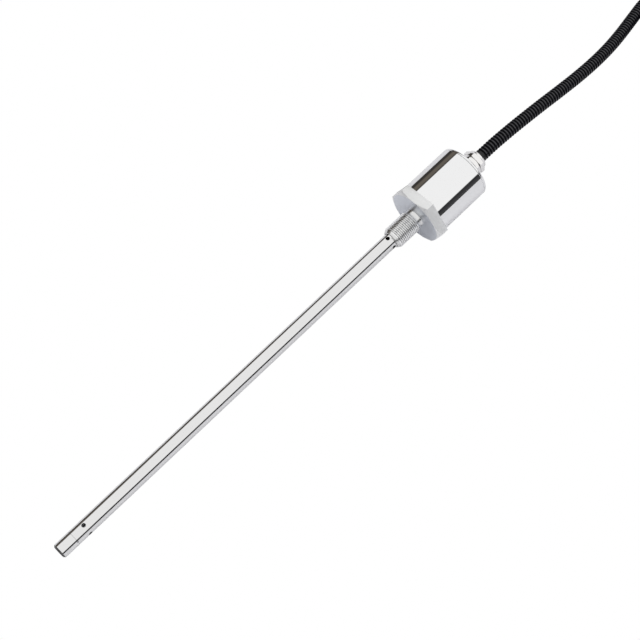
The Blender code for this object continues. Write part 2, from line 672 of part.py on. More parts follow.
def block(name, size, start, middle, surface):
    """A box-shaped component that stands on a board at X = start."""
    return prism(name, rectangle(size[1], size[2], middle), start, start + size[0], surface, sensor)


def on_board(place_share):
    """Turns shares of a board's radius into metres."""
    return tuple(share * BOARD_DIAMETER / 2 for share in place_share)


def board_parts():
    """Components that the boards carry."""
    lower_face = LOWER_BOARD + BOARD_THICKNESS + FIT
    upper_face = UPPER_BOARD + BOARD_THICKNESS + FIT
    block("measuring_chip", CHIP_SIZE, lower_face, on_board(CHIP_PLACE), CHIP_BLACK)
    block("controller_chip", CONTROLLER_SIZE, upper_face, on_board(CONTROLLER_PLACE), CHIP_BLACK)
    edge = CAPACITOR_DIAMETER / 2
    end = upper_face + CAPACITOR_HEIGHT
    can = turned("filter_capacitor", [(upper_face, 0), (upper_face, edge), (end - 0.1 * edge, edge),
                                      (end, 0.9 * edge), (end, 0)], SATIN, sensor, 20, closed=False)
    can.location = (0, *on_board(CAPACITOR_PLACE))
    bar_start, bar_end = lower_face, UPPER_BOARD - FIT
    link_middle = on_board(LINK_PLACE)
    link = prism("board_link", rectangle(LINK_WIDTH, LINK_BAR, link_middle), bar_start, bar_start + LINK_BAR,
                 CHIP_BLACK, sensor)
    bm = bmesh.new()
    pitch = LINK_WIDTH / 4
    for i in range(4):
        middle = (link_middle[0] + pitch * (i - 1.5), link_middle[1])
        add_prism(bm, rectangle(LINK_PIN, LINK_PIN, middle), bar_start + LINK_BAR / 2, bar_end)
    combine(link, solid("board_link_pins", bm, None, sensor), "UNION")
    terminal = block("terminal_block", TERMINAL_BLOCK, upper_face, on_board(TERMINAL_PLACE), BLOCK_GREEN)
    bm = bmesh.new()
    for i in range(3):
        y, z = on_board(TERMINAL_PLACE)
        middle = (y, z + LEAD_PITCH * (i - 1))
        add_prism(bm, circle(LEAD_DIAMETER + 4 * FIT, 10, middle), upper_face + 0.4 * TERMINAL_BLOCK[0],
                  upper_face + TERMINAL_BLOCK[0] + FIT)
    combine(terminal, solid("terminal_wire_holes", bm, None, sensor))


def lead_places():
    """Middles of the three leads where they run together, lowest lead first."""
    angles = [radians(-90 + 120 * i) for i in range(3)]
    return [(LEAD_CIRCLE / 2 * cos(a), LEAD_CIRCLE / 2 * sin(a)) for a in angles]


def inner_leads():
    """Three leads from the terminal block through the gland into the conduit's cuff."""
    start = UPPER_BOARD + BOARD_THICKNESS + FIT + 0.5 * TERMINAL_BLOCK[0]
    clear = start + 0.5 * TERMINAL_BLOCK[0] + 2 * FIT
    mouth = HEAD_END - CAP_PLATE - LOCK_NUT_HEIGHT - 2 * FIT
    end = CUFF_END - 0.5 * CUFF_OUTSIDE
    for i, (name, surface) in enumerate(LEADS):
        side, up = lead_places()[i]
        y, z = on_board(TERMINAL_PLACE)
        z += LEAD_PITCH * (i - 1)
        route = [
            (start, y, z), (clear, y, z),
            (clear + 0.35 * (mouth - clear), 0.7 * y + 0.3 * side, 0.7 * z + 0.3 * up),
            (clear + 0.75 * (mouth - clear), 0.2 * y + 0.8 * side, 0.2 * z + 0.8 * up),
            (mouth, side, up), (mouth + 0.1 * (end - mouth), side, up), (end, side, up),
        ]
        tube(f"{name}_lead", smooth_line(route, 0.004), LEAD_DIAMETER, surface, sensor, 1)


def gland():
    """Nickel-plated gland: body through the cap, lock nut inside, seal and domed nut outside."""
    stub, neck, bore = GLAND_THREAD / 2 - FIT, GLAND_NECK / 2, CONDUIT_HOLE / 2
    inner_end = HEAD_END - CAP_PLATE - FIT - LOCK_NUT_HEIGHT - FIT
    base_end = GLAND_SEAT + GLAND_BASE
    neck_end = base_end + GLAND_NECK_LENGTH
    blank = GLAND_BLANK
    bevel = blank - GLAND_FLATS / 2
    body = turned("gland_body", [
        (inner_end, bore), (inner_end, stub), (GLAND_SEAT, stub), (GLAND_SEAT, blank - bevel),
        (GLAND_SEAT + 0.5 * bevel, blank), (base_end - 0.5 * bevel, blank), (base_end, blank - bevel),
        (base_end, neck), (neck_end, neck), (neck_end, bore),
    ], NICKEL, sensor, MEDIUM)
    combine(body, prism("gland_body_hexagon", polygon(GLAND_FLATS), inner_end - 0.001, neck_end + 0.001,
                        None, sensor), "INTERSECT")
    lock_start = HEAD_END - CAP_PLATE - FIT - LOCK_NUT_HEIGHT
    lock = turned("gland_lock_nut", [(lock_start, stub + FIT), (lock_start, LOCK_NUT_FLATS),
                                     (lock_start + LOCK_NUT_HEIGHT, LOCK_NUT_FLATS),
                                     (lock_start + LOCK_NUT_HEIGHT, stub + FIT)], NICKEL, sensor, 24)
    combine(lock, prism("gland_lock_hexagon", polygon(LOCK_NUT_FLATS), lock_start - 0.001,
                        lock_start + LOCK_NUT_HEIGHT + 0.001, None, sensor), "INTERSECT")
    inner = neck + FIT
    seal_start = neck_end + FIT
    seal_end = seal_start + GLAND_SEAL_LENGTH
    turned("gland_seal", [(seal_start, bore), (seal_start, inner - FIT), (seal_end, inner - FIT),
                          (seal_end, bore)], BLACK_RUBBER, sensor, 24)
    dome_start, mouth = GLAND_END - GLAND_DOME, bore + 2 * FIT
    dome = arc(dome_start, blank - GLAND_DOME, GLAND_DOME, 90, 0, 5)
    nut = turned("gland_nut", [
        (GLAND_NUT_SEAT, inner), (GLAND_NUT_SEAT, blank - bevel), (GLAND_NUT_SEAT + 0.5 * bevel, blank),
        *dome, (GLAND_END, mouth), (seal_end + FIT, mouth), (seal_end + FIT, inner),
    ], NICKEL, sensor, MEDIUM)
    combine(nut, prism("gland_nut_hexagon", polygon(GLAND_FLATS), GLAND_NUT_SEAT - 0.001,
                       GLAND_END + 0.001, None, sensor), "INTERSECT")


def conduit_cuff():
    """Smooth end sleeve of the conduit, gripped inside the gland."""
    start, outer = GLAND_END - CUFF_INSIDE, CONDUIT_OD / 2
    inner = outer - CONDUIT_WALL
    turned("conduit_cuff", [(start, inner), (start, outer), (CUFF_END, outer), (CUFF_END, inner)],
           CONDUIT_BLACK, sensor, 24)


def lying_height(x):
    """Height of the lying conduit's middle, which rises a little where the tie passes under it."""
    share = min(1.0, abs(x - HANK_X - TIE_FROM_START) / TIE_SPAN)
    return LYING_Z + (TIED_Z - LYING_Z) * (0.5 + 0.5 * cos(pi * share))


def hank_route():
    """Points along the hank: out, round the far turn, back, round the near turn, and in to the end."""
    far, steps = HANK_X + HANK_LENGTH, 12
    out = [(HANK_X + share * HANK_LENGTH, HANK_SIDEWAYS) for share in (-0.08, 0, 0.09, 0.19, 0.3, 0.5, 0.7, 0.92)]
    turns = [pi * i / steps for i in range(steps + 1)]
    round_far = [(far + OUTER_TURN * sin(a), HANK_SIDEWAYS - OUTER_TURN * (1 - cos(a))) for a in turns]
    homeward = [(HANK_X + share * HANK_LENGTH, BACK_LANE) for share in (0.9, 0.7, 0.5, 0.3, 0.1)]
    round_near = [(HANK_X - HANK_TURN * sin(a), BACK_LANE + HANK_TURN * (1 - cos(a))) for a in turns]
    inward = [(HANK_X + along, INNER_LANE + side) for along, side in END_ROUTE]
    low = [(x, y, LYING_Z) for x, y in round_far + homeward + round_near[:steps // 2]]
    first = [(x, y, lying_height(x)) for x, y in out]
    return first + low + [(x, y, lying_height(x)) for x, y in round_near[steps // 2:] + inward]


def conduit():
    """The conduit, from its cuff along the floor and round the hank to its end."""
    drop = CUFF_Z - LYING_Z
    run = [(CUFF_X + along, side, LYING_Z + share * drop) for along, side, share in RUN_ROUTE]
    route = run + hank_route()
    tube("conduit_run", smooth_line(route, 1.5 * CONDUIT_OD), CONDUIT_OD, CONDUIT_BLACK)
    return route[-1]


def conduit_tie():
    """Nylon tie round the hank's first and last lanes, with its head on the outer side."""
    half_width = (LANE_PITCH + CONDUIT_OD) / 2 + FIT
    low, high = TIE_THICKNESS, TIE_THICKNESS + CONDUIT_OD + 2 * FIT
    size = (2 * (half_width + TIE_THICKNESS), high - low + 2 * TIE_THICKNESS)
    middle = (0, (low + high) / 2)
    strap = prism("conduit_tie", rectangle(*size, middle), -TIE_WIDTH / 2, TIE_WIDTH / 2, CONDUIT_BLACK)
    hole = prism("conduit_tie_hole", rectangle(2 * half_width, high - low, middle), -TIE_WIDTH, TIE_WIDTH, None)
    head_middle = (half_width + TIE_THICKNESS / 2 + TIE_HEAD[2] / 2, high - TIE_HEAD[1])
    head = prism("conduit_tie_head", rectangle(TIE_HEAD[2] + TIE_THICKNESS, TIE_HEAD[1], head_middle),
                 -TIE_HEAD[0] / 2, TIE_HEAD[0] / 2, None)
    combine(strap, head, "UNION")
    combine(strap, hole)
    for piece in (strap, head, hole):
        piece.location = (HANK_X + TIE_FROM_START, HANK_SIDEWAYS - LANE_PITCH / 2, 0)


def shell_outline(grow=0.0):
    """Section of the connector's front shell: a raised panel on top, bevelled shoulders, flat sides."""
    half, top, bottom = SHELL_WIDTH / 2 + grow, SHELL_HEIGHT / 2 + grow, -SHELL_HEIGHT / 2 - grow
    panel, under = PANEL_WIDTH / 2, top - PANEL_RISE
    right = [
        (panel, top), (panel, under), (0.72 * half, under - 0.03 * SHELL_HEIGHT),
        (0.93 * half, 0.62 * under), (half, 0.30 * under), (half, 0.60 * bottom),
        (0.86 * half, 0.90 * bottom), (0.60 * half, bottom),
    ]
    return right + [(-y, z) for y, z in reversed(right)]


def connector_housing(axis):
    """Moulded housing: oval rear, ribbed front shell, two gussets, latch bridge, open mating cavity."""
    width, height = REAR_SIZE
    radius = 0.32 * height
    step, front = REAR_LENGTH, REAR_LENGTH + SHELL_LENGTH
    body = loft("connector_housing", [
        (0, rounded(width, height, radius)), (0.85 * step, rounded(1.02 * width, 1.02 * height, radius)),
        (step + SHELL_WALL, rounded(1.06 * width, 1.04 * height, radius)),
    ], GREY_SHELL, axis)
    combine(body, prism("connector_shell", shell_outline(), step, front, None, axis), "UNION")
    for side in (-1, 1):
        rise = SHELL_HEIGHT / 2 - 0.35 * PANEL_RISE
        bm = bmesh.new()
        y = side * (PANEL_WIDTH / 2 - GUSSET_WIDTH / 2)
        corners = [(step - GUSSET_LENGTH, 0.9 * height / 2), (step + FIT, 0.9 * height / 2), (step + FIT, rise),
                   (step - 0.2 * GUSSET_LENGTH, rise)]
        face = bm.faces.new([bm.verts.new((x, y - GUSSET_WIDTH / 2, z)) for x, z in corners])
        raised = bmesh.ops.extrude_face_region(bm, geom=[face])["geom"]
        moved = [v for v in raised if isinstance(v, bmesh.types.BMVert)]
        bmesh.ops.translate(bm, verts=moved, vec=(0, GUSSET_WIDTH, 0))
        combine(body, solid(f"gusset_{side + 2}", bm, None, axis), "UNION")
    bridge = prism("latch_bridge", rectangle(2 * SHELL_WALL, LATCH_WIDTH,
                                             (SHELL_WIDTH / 2, -0.10 * SHELL_HEIGHT)),
                   step - SHELL_WALL, step + 0.42 * SHELL_LENGTH, None, axis)
    combine(body, bridge, "UNION")
    hole = prism("latch_hole", rectangle(SHELL_WALL, LATCH_HOLE,
                                         (SHELL_WIDTH / 2 + 0.45 * SHELL_WALL, -0.10 * SHELL_HEIGHT)),
                 step - 2 * SHELL_WALL, front, None, axis)
    combine(body, hole)
    cavity_start = front - CAVITY_DEPTH
    cavity = (SHELL_WIDTH - 2 * SHELL_WALL, SHELL_HEIGHT - 2 * SHELL_WALL - PANEL_RISE)
    mouth = [(y, z - PANEL_RISE / 2) for y, z in rounded(*cavity, 0.2 * cavity[1], 3)]
    pocket = prism("connector_cavity", mouth, cavity_start, front + 0.001, None, axis)
    combine(body, pocket)
    rear = prism("connector_rear_pocket", rounded(width - 2 * SHELL_WALL, height - 2 * SHELL_WALL,
                                                  radius - SHELL_WALL, 3), -0.001, BOOT_PLUG + FIT, None, axis)
    combine(body, rear)
    bm = bmesh.new()
    for middle in blade_places():
        add_prism(bm, rectangle(BLADE_SIZE[0] + 2 * FIT, BLADE_SIZE[1] + 2 * FIT, middle), BOOT_PLUG - 0.001,
                  cavity_start + 0.001)
    combine(body, solid("blade_slots", bm, None, axis))


def blade_places():
    """Middles of the three blade terminals in the mating cavity."""
    return [(BLADE_PITCH * (i - 1), -PANEL_RISE / 2) for i in range(3)]


def connector_inside(axis):
    """Blade terminals and the coloured plate that locks them at the cavity's floor."""
    floor = REAR_LENGTH + SHELL_LENGTH - CAVITY_DEPTH
    for number, (y, z) in enumerate(blade_places(), 1):
        w, t = BLADE_SIZE
        start, end = BOOT_PLUG + 2 * FIT, floor + LOCK_PLATE + BLADE_REACH
        loft(f"blade_{number}", [(start, rectangle(w, t, (y, z))), (end - w / 2, rectangle(w, t, (y, z))),
                                 (end, rectangle(0.5 * w, 0.5 * t, (y, z)))], TINNED, axis)
    cavity = (SHELL_WIDTH - 2 * SHELL_WALL, SHELL_HEIGHT - 2 * SHELL_WALL - PANEL_RISE)
    outline = rounded(cavity[0] - 2 * FIT, cavity[1] - 2 * FIT, 0.2 * cavity[1] - FIT, 3)
    plate = prism("terminal_lock", [(y, z - PANEL_RISE / 2) for y, z in outline], floor + FIT,
                  floor + LOCK_PLATE, LOCK_ORANGE, axis)
    bm = bmesh.new()
    for middle in blade_places():
        add_prism(bm, rectangle(BLADE_SIZE[0] + 2 * FIT, BLADE_SIZE[1] + 2 * FIT, middle), floor,
                  floor + LOCK_PLATE + FIT)
    combine(plate, solid("terminal_lock_slots", bm, None, axis))


def connector_boot(axis):
    """Rubber boot: a plug inside the housing, an oval body, and a neck that grips the leads."""
    width, height = REAR_SIZE
    radius = 0.32 * height
    plug = (width - 2 * SHELL_WALL - 2 * FIT, height - 2 * SHELL_WALL - 2 * FIT)
    neck_start, end = -BOOT_LENGTH, -BOOT_LENGTH - BOOT_NECK_LENGTH
    neck = BOOT_NECK_DIAMETER
    body = loft("connector_boot", [
        (end, rounded(neck, neck, 0.499 * neck)),
        (end + 0.35 * BOOT_NECK_LENGTH, rounded(neck, neck, 0.499 * neck)),
        (end + 0.75 * BOOT_NECK_LENGTH, rounded(1.8 * neck, 1.5 * neck, 0.7 * neck)),
        (neck_start, rounded(0.72 * width, 0.72 * height, radius)),
        (0.45 * neck_start, rounded(0.96 * width, 0.96 * height, radius)),
        (-FIT, rounded(width, height, radius)),
    ], BLACK_RUBBER, axis)
    combine(body, prism("boot_plug", rounded(*plug, radius - SHELL_WALL - FIT, 3), -2 * FIT, BOOT_PLUG - FIT,
                        None, axis), "UNION")
    combine(body, prism("boot_lead_hole", circle(LEAD_CIRCLE + LEAD_DIAMETER + 3 * FIT, 12), end - 0.001,
                        end + 0.30 * BOOT_NECK_LENGTH, None, axis))
    return end


def tail_leads(start, boot_end, height):
    """Three leads from the conduit's end into the boot's neck."""
    first = start[0] + FIT
    last = boot_end + 0.2 * BOOT_NECK_LENGTH
    for i, (name, surface) in enumerate(LEADS):
        side, up = lead_places()[i]
        route = [
            (first, start[1] + side, start[2] + up),
            (first + 0.18 * (last - first), start[1] + side, start[2] + up),
            (first + 0.50 * (last - first), (start[1] + CONNECTOR_SIDEWAYS) / 2 + 1.2 * side,
             (start[2] + height) / 2 + up),
            (boot_end - 0.04 * (last - first), CONNECTOR_SIDEWAYS + side, height + up),
            (last, CONNECTOR_SIDEWAYS + side, height + up),
        ]
        tube(f"tail_{name}_lead", smooth_line(route, 0.004), LEAD_DIAMETER, surface, None, 1)


def far_end(conduit_end):
    """The connector at the conduit's end, inside the hank. It points along the world's X axis."""
    height = SHELL_HEIGHT / 2
    reach = BOOT_LENGTH + BOOT_NECK_LENGTH
    axis = place("connector_axis", None, None)
    axis.location = (conduit_end[0] + TAIL_LEAD_LENGTH + reach, CONNECTOR_SIDEWAYS, height)
    connector_housing(axis)
    connector_inside(axis)
    connector_boot(axis)
    tail_leads(conduit_end, conduit_end[0] + TAIL_LEAD_LENGTH, height)



probe_tube()
tip_bush()
inner_electrode(tip_plug())
spacers()
process_flange()
feed_through()
rod_clamp()
head_housing()
end_cap()
board_pillars()
boards()
board_parts()
inner_leads()
gland()
conduit_cuff()
conduit_tie()
far_end(conduit())
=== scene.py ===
"""Looks of the capacitive liquid level sensor.

It lies on a pale floor, on its probe's tip and one flat of its flange. Its black conduit runs
out of the picture to a hank with a connector.
"""
from math import atan, ceil, cos, pi, radians, sin, tan

import bmesh
import bpy
from mathutils import Matrix, Vector


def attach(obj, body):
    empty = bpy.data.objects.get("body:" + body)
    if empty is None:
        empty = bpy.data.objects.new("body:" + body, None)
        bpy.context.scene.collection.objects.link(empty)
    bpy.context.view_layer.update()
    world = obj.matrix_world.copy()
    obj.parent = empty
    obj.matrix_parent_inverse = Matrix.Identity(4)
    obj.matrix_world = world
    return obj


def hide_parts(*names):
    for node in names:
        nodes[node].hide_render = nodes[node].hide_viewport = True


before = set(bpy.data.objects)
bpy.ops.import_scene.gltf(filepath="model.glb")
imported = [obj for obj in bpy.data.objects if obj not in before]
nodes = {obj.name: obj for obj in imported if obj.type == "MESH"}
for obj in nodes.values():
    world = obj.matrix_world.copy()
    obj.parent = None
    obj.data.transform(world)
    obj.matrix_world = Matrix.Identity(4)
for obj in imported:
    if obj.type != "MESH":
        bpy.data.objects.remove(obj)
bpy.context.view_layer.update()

# Camera.
# A long lens looks down on the sensor from its tip's side. The camera is rolled a little, so
# that the probe runs from the lower left corner of the picture to the upper right one.
FACE_MIDDLE = Vector((0.1677698, 0, 0.0262155))
AZIMUTH, ELEVATION, ROLL = radians(-34.5623), radians(59.4086), radians(11.4354)
DISTANCE, ASIDE, ABOVE = 1.40272, 0.083233, 0.089651
FILM_WIDTH, FOCAL_LENGTH = 36, 90
back = Vector((sin(AZIMUTH) * cos(ELEVATION), -cos(AZIMUTH) * cos(ELEVATION), sin(ELEVATION)))
level = Vector((cos(AZIMUTH), sin(AZIMUTH), 0))
upward = back.cross(level)
right = level * cos(ROLL) - upward * sin(ROLL)
up = level * sin(ROLL) + upward * cos(ROLL)
spot = FACE_MIDDLE + back * DISTANCE - right * ASIDE - up * ABOVE
lens = bpy.data.cameras.new("camera")
lens.sensor_width = FILM_WIDTH
lens.lens = FOCAL_LENGTH
camera = bpy.data.objects.new("camera", lens)
bpy.context.scene.collection.objects.link(camera)
bpy.context.scene.camera = camera
camera.matrix_world = Matrix.Translation(spot) @ Matrix((right, up, back)).transposed().to_4x4()

# Connector housing.
# Moulded in one piece from pale grey glass-filled nylon: an oval rear that takes the boot, and
# a front shell with a raised panel, two gussets and a latch bridge round the mating cavity.
EVEN = (1, 1, 1)
BROAD_SCALE, GRAIN_DETAIL, GRAIN_LOW, GRAIN_HIGH = 38, 3, 0.3, 0.7
CREASE, ROUNDING_STEPS = 35, 2
SAME_POINT, SAME_PLANE, MOULD_EDGE = 1e-6, 0.5, 25
SHELL_ROUND = 0.00018


def grain_group():
    """Shared pattern of a piece's own coordinates: a fine height and a broad tone."""
    group = bpy.data.node_groups.new("grain", "ShaderNodeTree")
    for name, kind in (("Stretch", "NodeSocketVector"), ("Scale", "NodeSocketFloat")):
        group.interface.new_socket(name=name, in_out="INPUT", socket_type=kind)
    for name in ("Height", "Tone"):
        group.interface.new_socket(name=name, in_out="OUTPUT", socket_type="NodeSocketFloat")
    start = group.nodes.new("NodeGroupInput")
    end = group.nodes.new("NodeGroupOutput")
    place = group.nodes.new("ShaderNodeTexCoord")
    stretch = group.nodes.new("ShaderNodeVectorMath")
    stretch.operation = "MULTIPLY"
    fine = group.nodes.new("ShaderNodeTexNoise")
    fine.inputs["Detail"].default_value = GRAIN_DETAIL
    broad = group.nodes.new("ShaderNodeTexNoise")
    broad.inputs["Detail"].default_value = GRAIN_DETAIL
    broad.inputs["Scale"].default_value = BROAD_SCALE
    group.links.new(place.outputs["Object"], stretch.inputs[0])
    group.links.new(start.outputs["Stretch"], stretch.inputs[1])
    group.links.new(stretch.outputs[0], fine.inputs["Vector"])
    group.links.new(start.outputs["Scale"], fine.inputs["Scale"])
    group.links.new(place.outputs["Object"], broad.inputs["Vector"])
    group.links.new(fine.outputs["Fac"], end.inputs["Height"])
    group.links.new(broad.outputs["Fac"], end.inputs["Tone"])
    return group


GRAIN = grain_group()


def spread(tree, value, low, high, out=(0, 1)):
    """A value stretched, so that low to high becomes the range out."""
    node = tree.nodes.new("ShaderNodeMapRange")
    for socket, limit in zip(("From Min", "From Max", "To Min", "To Max"), (low, high, *out)):
        node.inputs[socket].default_value = limit
    tree.links.new(value, node.inputs["Value"])
    return node.outputs["Result"]


def blend(tree, share, one, two):
    """A colour between two others, each a plain colour or what another node puts out."""
    mix = tree.nodes.new("ShaderNodeMix")
    mix.data_type = "RGBA"
    tree.links.new(share, mix.inputs["Factor"])
    for socket, colour in (("A", one), ("B", two)):
        if isinstance(colour, tuple):
            mix.inputs[socket].default_value = (*colour, 1)
        else:
            tree.links.new(colour, mix.inputs[socket])
    return mix.outputs["Result"]


def finish(name, dark, light, rough, scale, metallic=0, stretch=EVEN, bump=0.0002, strength=0.3,
           specular=0.5):
    """A surface with its colour from dark to light and its roughness over rough, by the grain."""
    made = bpy.data.materials.new(name)
    made.use_nodes = True
    tree = made.node_tree
    shader = tree.nodes["Principled BSDF"]
    shader.inputs["Metallic"].default_value = metallic
    shader.inputs["Specular IOR Level"].default_value = specular
    grain = tree.nodes.new("ShaderNodeGroup")
    grain.node_tree = GRAIN
    grain.inputs["Stretch"].default_value = stretch
    grain.inputs["Scale"].default_value = scale
    height = grain.outputs["Height"]
    colour = blend(tree, grain.outputs["Tone"], dark, light)
    tree.links.new(colour, shader.inputs["Base Color"])
    tree.links.new(spread(tree, height, GRAIN_LOW, GRAIN_HIGH, rough), shader.inputs["Roughness"])
    relief = tree.nodes.new("ShaderNodeBump")
    relief.inputs["Strength"].default_value = strength
    relief.inputs["Distance"].default_value = bump
    tree.links.new(height, relief.inputs["Height"])
    tree.links.new(relief.outputs["Normal"], shader.inputs["Normal"])
    return made


def shaped(piece):
    """Replaces a piece's mesh by what its modifiers make of it."""
    bpy.context.view_layer.update()
    graph = bpy.context.evaluated_depsgraph_get()
    mesh = bpy.data.meshes.new_from_object(piece.evaluated_get(graph), depsgraph=graph)
    piece.modifiers.clear()
    piece.data = mesh


def break_edges(piece, width, over):
    """Breaks a piece's edges that turn by more than over degrees, by a small round."""
    step = piece.modifiers.new("edges", "BEVEL")
    step.width = width
    step.segments = ROUNDING_STEPS
    step.limit_method = "ANGLE"
    step.angle_limit = radians(over)
    shaped(piece)
    piece.data.shade_smooth()
    piece.data.set_sharp_from_angle(angle=radians(CREASE))


def mounted(piece, slot_name, *replaced):
    """Fixes a finished piece to the object in place of the model's nodes."""
    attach(piece, "root")
    if replaced:
        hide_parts(*replaced)
    return piece


def moulded(name, source, surface, slot_name, width):
    """A model's node as it leaves its mould: whole flat faces, and its edges broken by width."""
    mesh = nodes[source].data.copy()
    shape = bmesh.new()
    shape.from_mesh(mesh)
    bmesh.ops.remove_doubles(shape, verts=shape.verts, dist=SAME_POINT)
    bmesh.ops.dissolve_limit(shape, angle_limit=radians(SAME_PLANE), verts=shape.verts,
                             edges=shape.edges)
    shape.to_mesh(mesh)
    shape.free()
    mesh.materials.clear()
    mesh.materials.append(surface)
    made = bpy.data.objects.new(name, mesh)
    bpy.context.scene.collection.objects.link(made)
    break_edges(made, width, MOULD_EDGE)
    return mounted(made, slot_name, source)


SHELL = finish("connector_shell", (0.50, 0.54, 0.51), (0.60, 0.64, 0.61), (0.38, 0.50), 2600,
               bump=0.00005)
shell = moulded("connector_shell", "connector_housing", SHELL, "grey_connector", SHELL_ROUND)

# Connector inside.
# Three blades stamped from tinned brass stand in the mating cavity. A plate moulded from orange
# plastic is pushed in over them and locks them in place.
BLADES = ("blade_1", "blade_2", "blade_3")
TINNED = finish("tinned_contacts", (0.66, 0.63, 0.58), (0.76, 0.73, 0.68), (0.22, 0.34), 1400, 1)
LOCK = finish("terminal_lock", (0.62, 0.17, 0.03), (0.78, 0.26, 0.06), (0.38, 0.48), 2400)


def dressed(surface, *names):
    """Gives the model's own nodes their finish, where their shape is already right."""
    for name in names:
        nodes[name].data.materials.clear()
        nodes[name].data.materials.append(surface)


dressed(TINNED, *BLADES)
dressed(LOCK, "terminal_lock")

# Boot.
# Moulded from soft black rubber, with a plug pushed into the rear of the housing: an oval body
# that narrows to a round neck with three grip rings, which squeezes the leads.
BOOT_START, BOOT_Y, BOOT_Z = 0.63398, -0.014, 0.0108
BOOT_WIDTH, BOOT_HEIGHT, BOOT_LENGTH = 0.0228, 0.0186, 0.0132
BOOT_PLUG, BOOT_WALL, LIP_ROUND, LIP_GAP, LIP_SHARE = 0.0057, 0.0022, 0.0008, 0.0003, 0.97
CORNER, CORNER_STEPS = 0.32 * BOOT_HEIGHT, 10
PLUG_SECTION = (BOOT_WIDTH - 2 * BOOT_WALL, BOOT_HEIGHT - 2 * BOOT_WALL, CORNER - BOOT_WALL)
NECK_LENGTH, NECK_ACROSS, NECK_CORNER = 0.0132, 0.0062, 0.499
NECK_END = -BOOT_LENGTH - NECK_LENGTH
HOLE_DEPTH, HOLE_SECTION = 0.003, (0.0046, 0.0046, 0.00229)
GRIPS = (
    (0.00, 0.94), (0.04, 1.0), (0.10, 1.0), (0.13, 0.84), (0.17, 0.84), (0.20, 1.0),
    (0.26, 1.0), (0.29, 0.84), (0.33, 0.84), (0.36, 1.0), (0.43, 1.02),
)
SHOULDER = ((0.60, 1.32, 1.20, 0.59), (0.75, 1.78, 1.48, 0.70))
SKIRT = (
    (-1.10, 0.64, 0.95), (-0.98, 0.73, 1), (-0.70, 0.87, 1), (-0.45, 0.955, 1), (-0.20, 0.99, 1),
)
RUBBER = finish("boot_rubber", (0.014, 0.014, 0.015), (0.026, 0.026, 0.028), (0.55, 0.72), 2200,
                bump=0.0001, strength=0.5)


def mesh_piece(name, verts, faces, surface, place=None, crease=CREASE):
    """A piece from its points and faces, smooth but for its sharp edges."""
    mesh = bpy.data.meshes.new(name)
    mesh.from_pydata(verts, [], faces)
    outward = bmesh.new()
    outward.from_mesh(mesh)
    bmesh.ops.recalc_face_normals(outward, faces=outward.faces)
    outward.to_mesh(mesh)
    outward.free()
    mesh.shade_smooth()
    mesh.set_sharp_from_angle(angle=radians(crease))
    if surface:
        mesh.materials.append(surface)
    made = bpy.data.objects.new(name, mesh)
    bpy.context.scene.collection.objects.link(made)
    if place is not None:
        made.matrix_world = place
    return made


def skin(rows, ring=False):
    """Faces round and between rows of as many points: joined in a ring, or else capped."""
    count = len(rows[0])
    pairs = [(i, i + 1) for i in range(len(rows) - 1)]
    if ring:
        pairs.append((len(rows) - 1, 0))
    faces = []
    for i, j in pairs:
        for k in range(count):
            n = (k + 1) % count
            faces.append((i * count + k, i * count + n, j * count + n, j * count + k))
    if not ring:
        last = (len(rows) - 1) * count
        faces += [tuple(range(count)), tuple(last + k for k in range(count))]
    return [point for row in rows for point in row], faces


def oval(x, width, height, corner):
    """A rounded rectangle across the connector's axis, as a row of points."""
    row = []
    for quarter, (y, z) in enumerate(((1, 1), (-1, 1), (-1, -1), (1, -1))):
        for i in range(CORNER_STEPS + 1):
            a = pi / 2 * (quarter + i / CORNER_STEPS)
            row.append((BOOT_START + x, BOOT_Y + y * (width / 2 - corner) + corner * cos(a),
                        BOOT_Z + z * (height / 2 - corner) + corner * sin(a)))
    return row


boot_rows = [oval(NECK_END + HOLE_DEPTH, *HOLE_SECTION), oval(NECK_END, *HOLE_SECTION)]
for along, share in GRIPS:
    across = share * NECK_ACROSS
    boot_rows.append(oval(NECK_END + along * NECK_LENGTH, across, across, NECK_CORNER * across))
for along, *shares in SHOULDER:
    section = [share * NECK_ACROSS for share in shares]
    boot_rows.append(oval(NECK_END + along * NECK_LENGTH, *section))
for along, share, corner in SKIRT:
    section = (share * BOOT_WIDTH, share * BOOT_HEIGHT, corner * CORNER)
    boot_rows.append(oval(along * BOOT_LENGTH, *section))
boot_rows += [
    oval(-LIP_ROUND, BOOT_WIDTH, BOOT_HEIGHT, CORNER),
    oval(-LIP_GAP, LIP_SHARE * BOOT_WIDTH, LIP_SHARE * BOOT_HEIGHT, CORNER),
    oval(-LIP_GAP, *PLUG_SECTION),
    oval(BOOT_PLUG, *PLUG_SECTION),
]
boot = mesh_piece("rubber_boot", *skin(boot_rows), RUBBER)
mounted(boot, "black_rubber", "connector_boot")

# Tail leads.
# Brown, yellow and black leads of fine copper strand in smooth insulation. They run side by
# side from the conduit's open end into the boot's neck.
CONDUIT_R = 0.0059
LYING_Z, TIED_Z = CONDUIT_R + 0.0002, CONDUIT_R + 0.0015
HANK_X, HANK_Y, LANE_PITCH = 0.5085775, 0.016, 2 * CONDUIT_R + 0.0004
INNER_LANE = HANK_Y - LANE_PITCH
TIE_FROM_START, TIE_SPAN = 0.014, 0.035
END_ROUTE = (
    (0.014, 0.0000), (0.028, -0.0002), (0.040, -0.0020), (0.052, -0.0052), (0.064, -0.0076),
    (0.075, -0.0082),
)
TAIL_LENGTH, END_GAP, IN_THE_NECK = 0.024, 0.0003, 0.2 * NECK_LENGTH
STRAIGHT_OUT, STRAIGHT_IN, BULGE = 0.18, 0.24 * NECK_LENGTH, 1.2
LEAD_R, LEAD_SPREAD, LEAD_STEP, LEAD_SIDES = 0.0008, 0.0011, 0.0008, 16
CURVE_STEPS = 24
BROWN = finish("brown_insulation", (0.15, 0.05, 0.02), (0.22, 0.08, 0.03), (0.30, 0.42), 1200)
